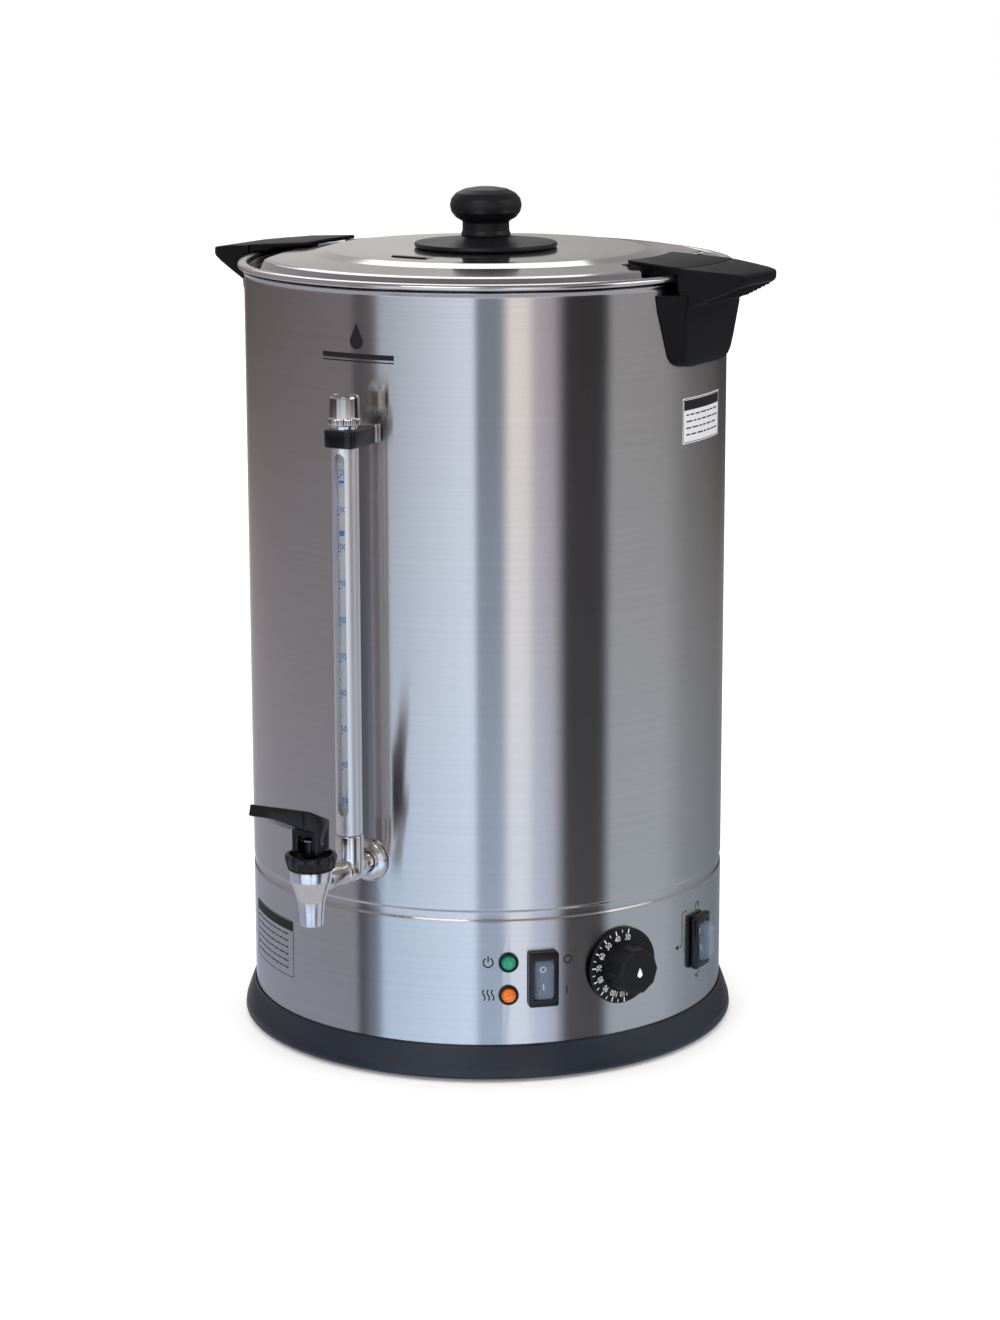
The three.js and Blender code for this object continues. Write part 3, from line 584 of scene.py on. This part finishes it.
# ---------------------------------------------------------------- lid
VENT_TURN = -6.5         # degrees that the vent sits round from the front
VENT_NEAR, VENT_FAR = -85.2, -80
HOOD_HALF, HOOD_RUN, HOOD_RISE = 14.5, 7.5, 0.9    # the louvre over the vent


def notch(side):
    """The opening that lets the lid past a handle's tab."""
    corners = [
        (146, -66), (135.7, -48.1, 4), (115.5, -36, 4), (115.5, 33.6, 4), (122.8, 33.6, 3), (114.9, 83.4, 6),
        (106, 124), (210, 124), (210, -66),
    ]
    return slab("tool", [(side * x, side * y) for x, y in soften(corners, 0.0)], 480, 530)


def make_lid():
    pan = lathe("lid_pan", [
        (2.6, 514.2), (98, 513.8, 6), (104, 513.5, 5), (114.5, 511.4, 5), (141.5, 509.1, 3),
        (145.2, 508.2, 2), (150.7, 500.8, 1.2), (153.4, 500), (153.4, 498.7), (150.4, 499, 1),
        (144, 506.9, 1.5), (141.5, 507.7, 2), (114.3, 510, 5), (103.7, 512.1, 5), (98, 512.5, 6),
        (2.6, 512.9),
    ], FINE, soft=0.4)
    turn = Matrix.Rotation(math.radians(VENT_TURN), 4, "Z")
    slot = slab("tool", block(-14, 14, VENT_NEAR, VENT_FAR), 505, 520, turn)
    cut(pan, slot, notch(1), notch(-1))
    whole = merge("lid_sheet", [pan, make_vent_hood(turn)])
    show(whole, LID_STEEL, "lid", ["lid"])


def make_vent_hood(turn):
    """The pressed louvre over the lid's vent slot: a lip that lifts towards the front."""
    across, along = 28, 4
    points, faces = [], []
    for layer in (0.0, -0.5):
        for i in range(across + 1):
            u = i / across * 2 - 1
            for j in range(along + 1):
                v = j / along
                rise = HOOD_RISE * v * (1 - abs(u) ** 16)
                points.append((HOOD_HALF * u, -77 - HOOD_RUN * v, 514.05 + rise + layer))
    row = along + 1
    size = (across + 1) * row
    for i in range(across):
        for j in range(along):
            a = i * row + j
            faces.append((a, a + row, a + row + 1, a + 1))
            faces.append((size + a, size + a + 1, size + a + row + 1, size + a + row))
    border = list(range(along)) + [i * row + along for i in range(across)]
    border += [across * row + j for j in range(along, 0, -1)] + [i * row for i in range(across, 0, -1)]
    for k, a in enumerate(border):
        b = border[(k + 1) % len(border)]
        faces.append((a, b, size + b, size + a))
    return make("vent_hood", points, faces, turn)


def make_knob():
    disc = lathe("knob_disc", [
        (2.6, 514.5), (46, 514.5, 0.4), (46.8, 515.6, 0.8), (46.2, 517.3, 1), (31, 519, 6), (19, 520.4, 4),
        (16.6, 521.3, 0.4), (2.6, 521.3),
    ], ROUND, soft=0.3)
    show(disc, KNOB_BLACK, "lid", ["lid_knob_disc"])
    knob = lathe("knob", [
        (0, 540), (2.6, 540), (2.6, 521.6), (16.2, 521.6, 0.6), (15.9, 523.4, 0.8), (15.3, 525, 1),
        (15.2, 530, 1), (15.8, 531.2, 0.5), (19.6, 533.3, 2), (22.4, 536.8, 3), (23.4, 541, 4),
        (22.5, 545.4, 4), (19.4, 549, 4), (14, 551.6, 5), (7, 552.8, 4), (0, 553),
    ], ROUND, soft=0.5)
    show(knob, KNOB_BLACK, "lid", ["lid_knob"])


# ---------------------------------------------------------------- handles
CREASE_R = 164.8         # where a handle's tab meets its grip
PAD_LOW, PAD_TOP = 448, 494.5
FIRST_RIB, RIB_PITCH, RIBS = 176, 3.4, 6


def wing_ring(reach, half, top, bottom, depth):
    """A rounded section of the wing; depth is how far its lower face hollows upwards."""
    low = [(-half + 3, bottom), (-half / 2, bottom + depth), (half / 2, bottom + depth), (half - 3, bottom)]
    outline = [(-half, bottom + 1.6), *low, (half, bottom + 1.6), (half, top, 1.2), (-half, top, 1.2)]
    return [(reach, y, z) for y, z in soften(outline, 1.6)]


def make_grip(side, turn):
    wing = loft("wing", [wing_ring(*section) for section in (
        (158, 39, 511.2, 482.2, 0), (168, 35.7, 510.3, 486.9, 0.6), (178, 32.4, 509.4, 491.3, 1),
        (190, 28.3, 508.1, 496.8, 0.6), (195.6, 25.6, 507.2, 499.5, 0.3), (197.6, 23.6, 506.6, 500.4, 0.1),
        (198.4, 20.6, 505.6, 501.4, 0),
    )])
    pad_levels = [
        (PAD_LOW, 20, 30), (448.5, 24.4, 33.8), (449.8, 28.2, 37.4), (451.8, 30.8, 40.2), (455, 32.6, 42.4),
        (462, 34, 44.4), (484, 38, 50), (PAD_TOP, 38.4, 51.5),
    ]
    rings = []
    for level, outer, inner in pad_levels:
        reach = 160.4 + 5.6 * min(1, (level - PAD_LOW) / 40) ** 0.6
        edge = [(147, -inner, 0), (147, inner, 0), (reach, outer, 3), (reach, -outer, 3)]
        rings.append([(x, y, level) for x, y in soften(edge, 3, steps=5)])
    pad = loft("pad", rings)
    vessel = lathe("tool", [(0, 440), (158, 440), (158, PAD_TOP), (CREASE_R + 0.4, PAD_TOP),
                            (CREASE_R + 0.4, 520), (0, 520)], FINE)
    grip = cut(join(wing, pad), vessel)
    grip.name = f"{side}_grip"
    grip.data.transform(turn)
    return bevel(grip, 0.5, angle=35, segments=2)


def make_handles():
    for side, azimuth in (("right", 88.5), ("left", -91.5)):
        turn = Matrix.Rotation(math.radians(azimuth - 90), 4, "Z")
        show(make_grip(side, turn), SATIN_BLACK, replaces=[f"handle_{side}_grip"])
        refined(f"{side}_tab", f"handle_{side}_tab", 0.7, SATIN_BLACK)
        ribs = []
        for k in range(RIBS):
            reach = FIRST_RIB + RIB_PITCH * k
            level = 490.4 + (reach - FIRST_RIB) * 0.47
            half = 31.5 - (reach - FIRST_RIB) * 0.38
            rib = slab("rib", oval(0.7, half - 3, 0.6), level - 0.7, level + 2.6, turn @ at(reach, 0, 0))
            ribs.append(rib)
        show(merge(f"{side}_grip_ribs", ribs), SATIN_BLACK)


def make_tap():
    flange = lathe("tap_rose", [
        (6.9, 157.9), (13.6, 157.9), (13.8, 159.2, 0.6), (12.2, 160.8, 1.2), (9.4, 161.8, 1), (6.9, 162.2),
    ], ROUND, soft=0.3, place=OUTWARD)
    show(flange, POLISHED, replaces=["tap_flange"])

    shank = slab("tap_tee", circle(6.5), 133, 211.8, OUTWARD, edge=0.5)
    boss = lathe("boss", [
        (0, 171.5), (7.2, 171.5), (8.4, 173.6, 1), (8.4, 189.4, 1), (7.2, 191.5), (0, 191.5),
    ], SMALL, soft=0.6, place=OUTWARD)
    riser = lathe("riser", [
        (0, 132.6), (5.6, 132.6, 2), (8.8, 137, 4), (9, 149, 1), (9, 161.4, 0.6), (8.4, 162), (0, 162),
    ], SMALL, soft=0.4, place=GAUGE)
    join(shank, boss, riser)
    cut(shank, bore(WATERWAY, OUTWARD, 120, 230), bore(WATERWAY, GAUGE, TAP_Z, 170),
        bore(7.7, GAUGE, 150, 170))
    show(shank, CAST_STEEL, replaces=["tap_shank"], sharp=40)

    body = lathe("tap_cone", [
        (0, 115), (7.2, 115, 0.4), (7.7, 124, 8), (8.7, 131, 8), (10.9, 138, 6), (12.9, 144, 6),
        (13.3, 149, 1), (13.3, 151), (0, 151),
    ], ROUND, soft=0.3, place=TAP)
    join(body, slab("tool", circle(6.8), 212.3, 222, OUTWARD))
    hollow = lathe("tool", [
        (0, 110), (5.4, 110), (5.4, 133.5), (8.6, 136.5), (8.6, 158), (0, 158),
    ], SMALL, place=TAP)
    cut(body, hollow, bore(WATERWAY, OUTWARD, 205, 224))
    show(body, CAST_STEEL, replaces=["tap_body"], sharp=40)

    def scallops(angle, radius, height):
        if radius < 13.5 or height < 151.6:
            return radius
        return radius - 0.75 * abs(math.cos(9 * angle)) ** 0.5

    bonnet = lathe("bonnet", [
        (9.2, 151.3), (14.3, 151.3, 0.5), (15, 153.4, 1), (16.1, 157.5, 2), (16.2, 160, 0.8),
        (15.3, 161, 0.6), (13.8, 161, 0.4), (13.3, 157.5), (4.4, 157.5), (4.4, 168.5), (2.6, 168.5),
        (2.6, 156), (9.2, 156),
    ], 144, soft=0.3, place=TAP, wave=scallops)
    show(bonnet, GLOSS_BLACK, replaces=["tap_bonnet"], sharp=50)
    refined("lever", "tap_lever", 1.3, GLOSS_BLACK, "tap_handle", segments=4)

    spring = refined("seat_spring", "tap_spring", 0.1, SPRING, segments=1)
    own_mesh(spring)


# ---------------------------------------------------------------- sight gauge
SLOT_LOW, SLOT_HIGH, SLOT_HALF = 175, 404, 3.9
MOST_CUPS, MOST_CUPS_Z = 120, 389
CUP_RISE = 2.306         # of the level, for one cup


def make_gauge():
    tube = lathe("gauge_tube", [(3.9, 150.3), (5.4, 150.3), (5.4, 420.9), (3.9, 420.9)], SMALL, soft=0.3,
                 place=GAUGE)
    show(tube, GLASS, replaces=["gauge_glass"])
    shield = lathe("gauge_sleeve", [(7.2, 162.3), (8.35, 162.3), (8.35, 417.9), (7.2, 417.9)], 64, soft=0.3,
                   place=GAUGE)
    slot = arc(SLOT_HALF, 180, 360, 0, SLOT_LOW + SLOT_HALF)
    slot += arc(SLOT_HALF, 0, 180, 0, SLOT_HIGH - SLOT_HALF)
    cut(shield, slab("tool", slot, GAUGE_Y, GAUGE_Y + 14, panel(0, 0, 0)))
    show(shield, SATIN, replaces=["gauge_shield"])
    liner = slab("gauge_liner", arc(7, 20, 160) + arc(6.4, 160, 20), 163, 417, GAUGE)
    show(liner, BACKING)

    def flutes(angle, radius, height):
        if height > 425.8 and radius > 8:
            facet = 2 * math.pi / 20
            return radius * math.cos(facet / 2) / math.cos(angle % facet - facet / 2)
        if 421 < height < 425.4 and radius > 9.8:
            return radius - 0.25 * (0.5 + 0.5 * math.cos(48 * angle))
        return radius

    cap = lathe("screw_cap", [
        (6.9, 418.7), (8.3, 418.7), (8.3, 420.8), (9.9, 421.1), (10.2, 421.6), (10.2, 424.8), (9.9, 425.3),
        (9.5, 425.9), (9.4, 426.6), (9.2, 437.8), (8.8, 438.8, 0.8), (8.2, 439.5, 0.5), (6.6, 439.5),
        (6.2, 439.1), (0, 439.1), (0, 423.1), (6.9, 423.1),
    ], 320, soft=0.2, place=GAUGE, wave=flutes)
    show(cap, CHROME, "cap", ["gauge_cap"], sharp=12)

    grip = soften([(10.3, 19.6), (10.3, 0, 10), (10.3, -10.3, 10), (-10.3, -10.3, 10), (-10.3, 0, 10),
                   (-10.3, 19.6)], 0.8, steps=8)
    bracket = slab("gauge_clip", grip, 407.6, 418.3, GAUGE)
    cut(bracket, bore(8.65, GAUGE, 400, 425, 64))
    bevel(bracket, 0.7)
    show(bracket, GLOSS_BLACK, replaces=["gauge_bracket"], sharp=40)
    refined("gauge_clip_plate", "gauge_standoff", 0.8, POLISHED)

    level = wrapped(5.5, 0, 0)

    def on_glass(x, y, depth):
        px, py, pz = level(x, y, depth)
        return px, py - GAUGE_Y, pz

    scale = []
    for cups in range(30, MOST_CUPS + 10, 10):
        height = MOST_CUPS_Z - CUP_RISE * (MOST_CUPS - cups)
        scale.append(shifted(number(str(cups), DIGITS, 0.9), 0, height + 3.0))
        scale.append(strip(-3.2, -0.4, height - 0.25, height + 0.25, step=1))
        scale.append(strip(-3.2, -1.6, height - 11.7, height - 11.4, step=1))
    scale.append(strip(-1.6, 2.2, MOST_CUPS_Z - 3.4, MOST_CUPS_Z - 1.8, step=1))
    cup = MOST_CUPS_Z - CUP_RISE * 15              # a little cup between two numbers
    scale.append(strip(-1.5, 1.7, cup - 1.6, cup + 1.6, step=1))
    scale.append(stroke(arc(1, -90, 90, 1.7, cup + 0.2, steps=8), 0.4))
    printed("gauge_scale", scale, on_glass, BLUE_INK, lift=0.04, depth=0.08)


# ---------------------------------------------------------------- controls
def make_lamps():
    for name, spot, lens in (("power", POWER_LAMP, GREEN_LENS), ("heating", HEATING_LAMP, AMBER_LENS)):
        bezel = lathe(f"{name}_rim", [
            (5, -14), (5.7, -14), (5.7, 0.3), (6.45, 0.3), (6.45, 1.5, 0.6), (5.7, 2.5, 0.6), (5, 2.5),
        ], ROUND, soft=0.2, place=panel(*spot))
        show(bezel, GLOSS_BLACK, replaces=[f"{name}_lamp_bezel"])

        def facets(angle, radius, height):
            return radius * (1 - 0.045 * abs(math.sin(6 * angle))) if height > 1.5 else radius

        dome = lathe(f"{name}_jewel", [
            (0, -17), (4.7, -17), (4.7, 1.2), (4.65, 2.4), (3.9, 3.7), (2.4, 4.4), (0, 4.6),
        ], 72, soft=0.3, place=panel(*spot), wave=facets)
        show(dome, lens, replaces=[f"{name}_lamp_lens"],
             sharp=20)


PIVOT = -1               # of a rocker, outwards from the shell
REST_TIP = -8            # degrees
HALF_AT, HALF_UP = 5.6, 3.12                       # middle of each half of its face, from the pivot
HALF_SLOPE = math.atan2(0.8, 10.8)                 # down to the middle of the face


def make_switches():
    for name, spot in (("power", POWER), ("selector", SELECTOR)):
        place = panel(*spot)
        bezel = slab(f"{name}_surround", oval(9.8, 18, 2), 0.5, 4.8, place, edge=0.9)
        can = slab("tool", block(-8.1, 8.1, -15.5, 15.5), -24, 1, place)
        join(bezel, can)
        recess = slab("tool", oval(6.9, 13.2, 1), 2.4, 8, place)
        cut(bezel, recess, slab("tool", oval(6.3, 12.2, 0.8), -6.5, 8, place))
        show(bezel, GLOSS_BLACK, replaces=[f"{name}_switch_frame"])
        refined(f"{name}_paddle", f"{name}_rocker", 0.5, ROCKER, f"{name}_rocker")
        cover = splash_boot(f"{name}_boot", place)
        show(cover, BOOT, replaces=[f"{name}_switch_boot"])
        tilt = place @ at(0, 0, PIVOT) @ Matrix.Rotation(math.radians(REST_TIP), 4, "X")
        ring = stroke(circle(1.7, 24), 0.6, closed=True)
        bar = strip(-0.3, 0.3, -1.9, 1.9)
        for mark, shape, end in (("off", ring, 1), ("on", bar, -1)):
            face = tilt @ at(0, end * HALF_AT, HALF_UP) @ Matrix.Rotation(end * HALF_SLOPE, 4, "X")
            printed(f"{name}_mark_{mark}", [shape], flat(face), WHITE_INK,
                    f"{name}_rocker")


def splash_boot(name, place):
    """A soft clear cover: one dome inside another, open at the back."""
    outer = [(6.6, 12.9, 2.7), (6.5, 12.8, 4.4), (6.1, 12.3, 6.4), (5.3, 11.3, 9.4), (4.6, 10.5, 10.7),
             (3.2, 9, 11)]
    inner = [(5.9, 12.2, 2.7), (5.8, 12.1, 4.2), (5.4, 11.6, 6.2), (4.6, 10.6, 9.2), (4.0, 10, 10),
             (2.8, 8.6, 10.3)]
    levels = inner[::-1] + outer
    return loft(name, [[(x, y, z) for x, y in oval(a, b, 2)] for a, b, z in levels], place)


DISC_TOP, DIAL_TOP = 3.1, 21.6
FIRST_MARK, MARK_STEP = 80, 12                     # round the dial, in degrees
NUMBERS_R = 18.6


def make_dial():
    place = panel(*DIAL)
    disc = lathe("dial", [
        (3.3, 1.1), (24.6, 1.1, 0.3), (25.1, 1.6, 0.4), (25, 2.8, 0.5), (24, DISC_TOP), (3.3, DISC_TOP),
    ], ROUND, soft=0.2, place=place)

    def grips(angle, radius, height):
        if radius < 10 or height < 3.2:
            return radius
        facet = 2 * math.pi / 10
        return radius * math.cos(facet / 2) / math.cos(angle % facet - facet / 2)

    grip = lathe("dial_grip", [
        (3.3, 2.9), (15.2, 2.9), (15.6, 3.6), (15.3, 8), (15.1, 19.4), (13.2, DIAL_TOP), (0, DIAL_TOP),
        (0, 15), (3.3, 15),
    ], 160, soft=0.3, place=place, wave=grips)
    knob = merge("dial_knob", [disc, grip])
    show(knob, KNOB_BLACK, "dial", ["thermostat_knob"], sharp=20)

    marks = []
    for k, degrees in enumerate(range(30, 115, 5)):
        around = FIRST_MARK + MARK_STEP * k
        major = degrees % 10 == 0
        tick = strip(21.3, 24.2, -0.36, 0.36) if major else strip(22.2, 24.2, -0.24, 0.24)
        marks.append(shifted(tick, turn=around))
        if major:
            spot = math.radians(around)
            marks.append(shifted(number(str(degrees), DIGITS), NUMBERS_R * math.cos(spot),
                                 NUMBERS_R * math.sin(spot), around - 90))
    printed("dial_scale", marks, flat(place @ at(0, 0, DISC_TOP)), WHITE_INK, "dial")
    drop = filled(drop_outline(3.4))
    printed("dial_mark", [drop], flat(place @ at(0, 0, DIAL_TOP)), WHITE_INK, "dial")


def drop_outline(size):
    """A plain water drop: a round belly under a point."""
    belly = arc(size * 0.55, 150, 390, 0, -size * 0.35, steps=28)
    return belly + [(0, size)]


# ---------------------------------------------------------------- printing on the shell
def make_prints():
    def icon(name, shapes, azimuth, height):
        printed(name, shapes, wrapped(BODY_R, azimuth, height), BLACK_INK)

    mains = [stroke(arc(3.1, 120, 420), 0.9), strip(-0.45, 0.45, 0.5, 4.2)]
    icon("power_icon", mains, 28.6, POWER_LAMP[1])
    waves = []
    for k in (-1, 0, 1):
        path = [(2.8 * k + 0.8 * math.sin(t * math.pi / 4), -3.6 + t * 0.9) for t in range(9)]
        waves.append(stroke(path, 0.85))
    icon("heating_icon", waves, 28.6, HEATING_LAMP[1])

    off = [stroke(circle(2.5, 32), 0.8, closed=True)]
    icon("off_icon", off, 47.4, 76)
    icon("on_icon", [strip(-0.42, 0.42, -2.6, 2.6)], 47.2, 56)

    knob = [stroke(arc(2.5, -40, 220), 0.6), stroke([(0, 0), (1.3, 1.5)], 0.6)]
    icon("variable_icon", knob, 89.4, 89.6)
    preset = [number("95", 3.4), stroke(circle(0.55, 16, 4.1, 1.6), 0.35, closed=True)]
    icon("preset_number", preset, 89.6, 41.3)
    route = [(5.6, 22.6), (1.4, 22.6), (0, 21.2), (0, 1), (-1.4, 0), (-4.4, 0)]
    head = [(-7.6, 0), (-4, 1.7), (-4.8, 0), (-4, -1.7)]
    arrow = [stroke(soften(route, 1.2, closed=False), 0.55), filled(head)]
    icon("arrow", arrow, 82.2, 66.8)

    mark = [filled(drop_outline(8.5)), strip(-26, 26, -13.6, -10.4), strip(-26, 26, -15.6, -14.8)]
    icon("maker_mark", mark, -2, 472)

    make_notice("reset_notice", wrapped(BODY_R, -36.7, 65), 32.4, 20, 4.6, plate=False)
    make_notice("level_notice", wrapped(BODY_R, 90, 413), 26.6, 14.5, 4.2, plate=True)


def make_notice(name, place, half, half_height, line, plate):
    """A ruled notice without words: a dark heading over short lines."""
    if plate:
        base = [strip(-half, half, -half_height, half_height)]
        printed(f"{name}_plate", base, place, LABEL, lift=0.03, depth=0.06)
    inset = 0.8
    border = soften(block(inset - half, half - inset, inset - half_height, half_height - inset), 1.6)
    split = []
    for k, here in enumerate(border):
        after = border[(k + 1) % len(border)]
        steps = max(1, round(math.dist(here, after) / 3))
        split += [(here[0] + (after[0] - here[0]) * t / steps, here[1] + (after[1] - here[1]) * t / steps)
                  for t in range(steps)]
    shapes = [stroke(split, 0.4, closed=True)]
    top = half_height - inset
    shapes.append(strip(-half + 1.4, half - 1.4, top - 7, top - 0.6))
    rows = int((2 * half_height - 12) / line)
    for row in range(rows):
        y = top - 10 - row * line
        x = -half + 4
        word = 0
        while x < half - 7:
            length = 3.2 + 2.9 * ((3 * row + 5 * word) % 4) / 2
            end = min(x + length, half - 4)
            shapes.append(strip(x, end, y - 0.45, y + 0.45))
            x = end + 1.5
            word += 1
    printed(name, shapes, place, BLACK_INK, lift=0.09 if plate else 0.06)


# ---------------------------------------------------------------- parts that keep their CAD shape
def dress_nodes():
    finishes = {
        PRESSED: ["heater_plate", "thermostat_body"],
        SPRING: ["heating_element"],
        COPPER: ["thermostat_bulb"],
        SATIN_BLACK: ["boil_dry_cutout"],
        RED: ["reset_button"],
        SILICONE: ["terminal_block", "tap_tank_seal", "tap_seat_cup", "gauge_lower_seal", "gauge_cap_seal"],
        BRASS: ["inlet_pin_neutral", "inlet_pin_earth", "inlet_pin_live", "thermostat_shaft"],
        POLISHED: ["tap_tank_nut", "tap_stem", "tap_lever_pin", "lid_knob_screw"],
    }
    for material, names in finishes.items():
        for name in names:
            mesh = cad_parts[name].data
            mesh.materials.clear()
            mesh.materials.append(material)


def make_inlet():
    refined("mains_inlet", "inlet_socket", 0.5, SATIN_BLACK)


# ---------------------------------------------------------------- studio
def make_camera():
    """The eye stands 2192 mm from the vessel's axis and 725 mm up, and looks 12.5 degrees down."""
    distance, height = 2192.49, 725.07
    yaw, pitch, roll = map(math.radians, (0.2285, 12.525, -0.0925))
    ahead = Vector((math.sin(yaw) * math.cos(pitch), math.cos(yaw) * math.cos(pitch), -math.sin(pitch)))
    level = Vector((math.cos(yaw), -math.sin(yaw), 0))
    upright = level.cross(ahead)
    right = math.cos(roll) * level + math.sin(roll) * upright
    up = -math.sin(roll) * level + math.cos(roll) * upright
    pose = Matrix((right, up, -ahead)).transposed().to_4x4()
    pose.translation = (0, -distance * MM, height * MM)
    data = bpy.data.cameras.new("camera")
    data.lens = 91.47
    data.sensor_width = 36
    data.clip_start = 0.05
    data.clip_end = 60
    camera = added("camera", data)
    camera.matrix_world = Matrix.Rotation(math.radians(CAMERA_AZIMUTH), 4, "Z") @ pose
    bpy.context.scene.camera = camera


# Soft boxes, flags and walls round the studio. Each runs from one azimuth to another, in degrees from
# the camera's side, with its brightness at either end and its hue; neighbours blend into each other.
NEUTRAL, PLUM, SKY, CREAM = (1, 1, 1), (1.05, 0.97, 1.0), (0.93, 1.0, 1.09), (1.05, 1.0, 0.95)
STUDIO = [
    (-180, -168, 0.48, 0.44, NEUTRAL),   # doorway behind the urn
    (-160, -56, 0.29, 0.27, PLUM),       # wall on the left
    (-51, -6, 0.56, 0.90, SKY),          # large soft box
    (-4, 6.5, 0.28, 0.30, SKY),          # the camera's place between two soft boxes
    (11, 19, 0.90, 0.86, CREAM),         # narrow soft box
    (23, 31.5, 0.57, 0.48, PLUM),        # its spill on a card
    (38, 57, 0.05, 0.045, PLUM),         # black flag
    (62, 94, 0.42, 0.42, NEUTRAL),       # grey card
    (112, 150, 0.29, 0.18, NEUTRAL),     # wall on the right
    (172, 180, 0.20, 0.38, NEUTRAL),     # doorway behind the urn
]
STUDIO_GAIN = 1.2


def make_world():
    """A studio for the reflections, and an even soft light for everything else."""
    world = bpy.data.worlds.new("studio")
    bpy.context.scene.world = world
    world.use_nodes = True
    tree = world.node_tree
    tree.nodes.clear()

    def maths(operation, *values):
        step = tree.nodes.new("ShaderNodeMath")
        step.operation = operation
        for socket, value in zip(step.inputs, values):
            feed(tree, socket, value)
        return step.outputs[0]

    def past(start, end):
        """0 up to one level of z, rising to 1 at the other."""
        return ramped(tree, z, start, end, 0.0, 1.0)

    coords = tree.nodes.new("ShaderNodeTexCoord")
    split = tree.nodes.new("ShaderNodeSeparateXYZ")
    tree.links.new(coords.outputs["Generated"], split.inputs[0])
    x, y, z = split.outputs
    azimuth = maths("ARCTAN2", x, maths("MULTIPLY", y, -1.0))
    turned = maths("SUBTRACT", azimuth, math.radians(CAMERA_AZIMUTH))
    share = maths("FRACT", maths("ADD", maths("DIVIDE", turned, 2 * math.pi), 0.5))

    ramp = tree.nodes.new("ShaderNodeValToRGB")
    tree.links.new(share, ramp.inputs[0])
    stops = [stop for start, end, low, high, hue in STUDIO for stop in ((start, low, hue), (end, high, hue))]
    elements = ramp.color_ramp.elements
    while len(elements) < len(stops):
        elements.new(0.5)
    for element, (degrees, level, hue) in zip(elements, stops):
        element.position = (degrees + 180) / 360
        element.color = (*(level * c for c in hue), 1)

    def beside(degrees, half, feather):
        """1 within half of an azimuth, falling to 0 over the feather."""
        away = maths("ABSOLUTE", maths("SUBTRACT", turned, math.radians(degrees)))
        return ramped(tree, away, math.radians(half), math.radians(half + feather), 1.0, 0.0)

    # A narrow flag hangs beside the large soft box, below the horizon.
    flag = maths("MULTIPLY", beside(-59.5, 5, 3), past(-0.12, -0.14))
    flagged = mixed(tree, flag, ramp.outputs[0], (0.05, 0.045, 0.05, 1))
    # The table's glow fills the studio's foot on the camera's side.
    glow = maths("MULTIPLY", beside(-12, 38, 14), ramped(tree, z, -0.23, -0.28, 0.0, 0.55))
    strips = mixed(tree, glow, flagged, (0.72, 0.84, 0.98, 1))
    # Just below the horizon the flags are deeper; the soft boxes keep their brightness.
    near = maths("ABSOLUTE", maths("ADD", z, 0.09))
    depth = ramped(tree, near, 0.0, 0.10, 2.4, 1.0)
    gamma = tree.nodes.new("ShaderNodeGamma")
    tree.links.new(strips, gamma.inputs[0])
    tree.links.new(depth, gamma.inputs[1])
    bright = mixed(tree, 1.0, gamma.outputs[0], (STUDIO_GAIN, STUDIO_GAIN, STUDIO_GAIN, 1), "MULTIPLY")
    down = mixed(tree, past(-0.20, -0.31), (1.04, 1.0, 0.97, 1), (0.98, 1.16, 1.42, 1))
    tinted = mixed(tree, 1.0, bright, down, "MULTIPLY")
    wall = mixed(tree, past(-0.40, -0.62), tinted, (0.50, 0.50, 0.53, 1))
    ceiling = mixed(tree, past(0.1, 0.5), wall, (0.30, 0.29, 0.30, 1))
    overhead = mixed(tree, past(0.5, 0.95), ceiling, (0.17, 0.16, 0.165, 1))

    soft = mixed(tree, past(-0.6, 0.9), (0.72, 0.74, 0.80, 1), (1.22, 1.20, 1.18, 1))
    path = tree.nodes.new("ShaderNodeLightPath")
    lit = mixed(tree, path.outputs["Is Glossy Ray"], soft, overhead)
    seen = mixed(tree, path.outputs["Is Camera Ray"], lit, (1.0, 1.0, 1.0, 1))
    background = tree.nodes.new("ShaderNodeBackground")
    output = tree.nodes.new("ShaderNodeOutputWorld")
    tree.links.new(seen, background.inputs[0])
    tree.links.new(background.outputs[0], output.inputs[0])


# Soft lamps: azimuth from the camera's side, then height, size (metres) and power (watts).
LAMPS = (("key", -25, 2.6, 1.6, 22), ("fill", 75, 1.9, 1.4, 10), ("back", 190, 2.4, 1.8, 12))
LAMP_REACH = 2.6         # metres from the vessel's axis
AIM = Vector((0, 0, 0.25))


def make_studio():
    make_world()
    floor = slab("floor", circle(6000, 96), FLOOR - 10, FLOOR)
    white = surface("floor_white", (0.93, 0.93, 0.93), 0.6, grain=40, spread=0.004, bump=0.0,
                    Specular_IOR_Level=0.1, Emission_Color=(1, 1, 1, 1), Emission_Strength=0.14)
    floor.data.materials.append(white)
    floor.visible_glossy = False

    for name, azimuth, height, size, power in LAMPS:
        light = bpy.data.lights.new(name, "AREA")
        light.size = size
        light.energy = power
        light.specular_factor = 0.15
        lamp = added(name, light)
        ux, uy = unit(CAMERA_AZIMUTH + azimuth)
        lamp.location = (LAMP_REACH * ux, LAMP_REACH * uy, height)
        lamp.rotation_euler = (AIM - lamp.location).to_track_quat("-Z", "Y").to_euler()
        lamp.visible_camera = False
    bpy.context.scene.view_settings.view_transform = "Standard"


make_camera()
make_studio()
make_vessel()
make_fixings()
make_lid()
make_knob()
make_handles()
make_tap()
make_gauge()
make_lamps()
make_switches()
make_dial()
make_prints()
make_inlet()
dress_nodes()
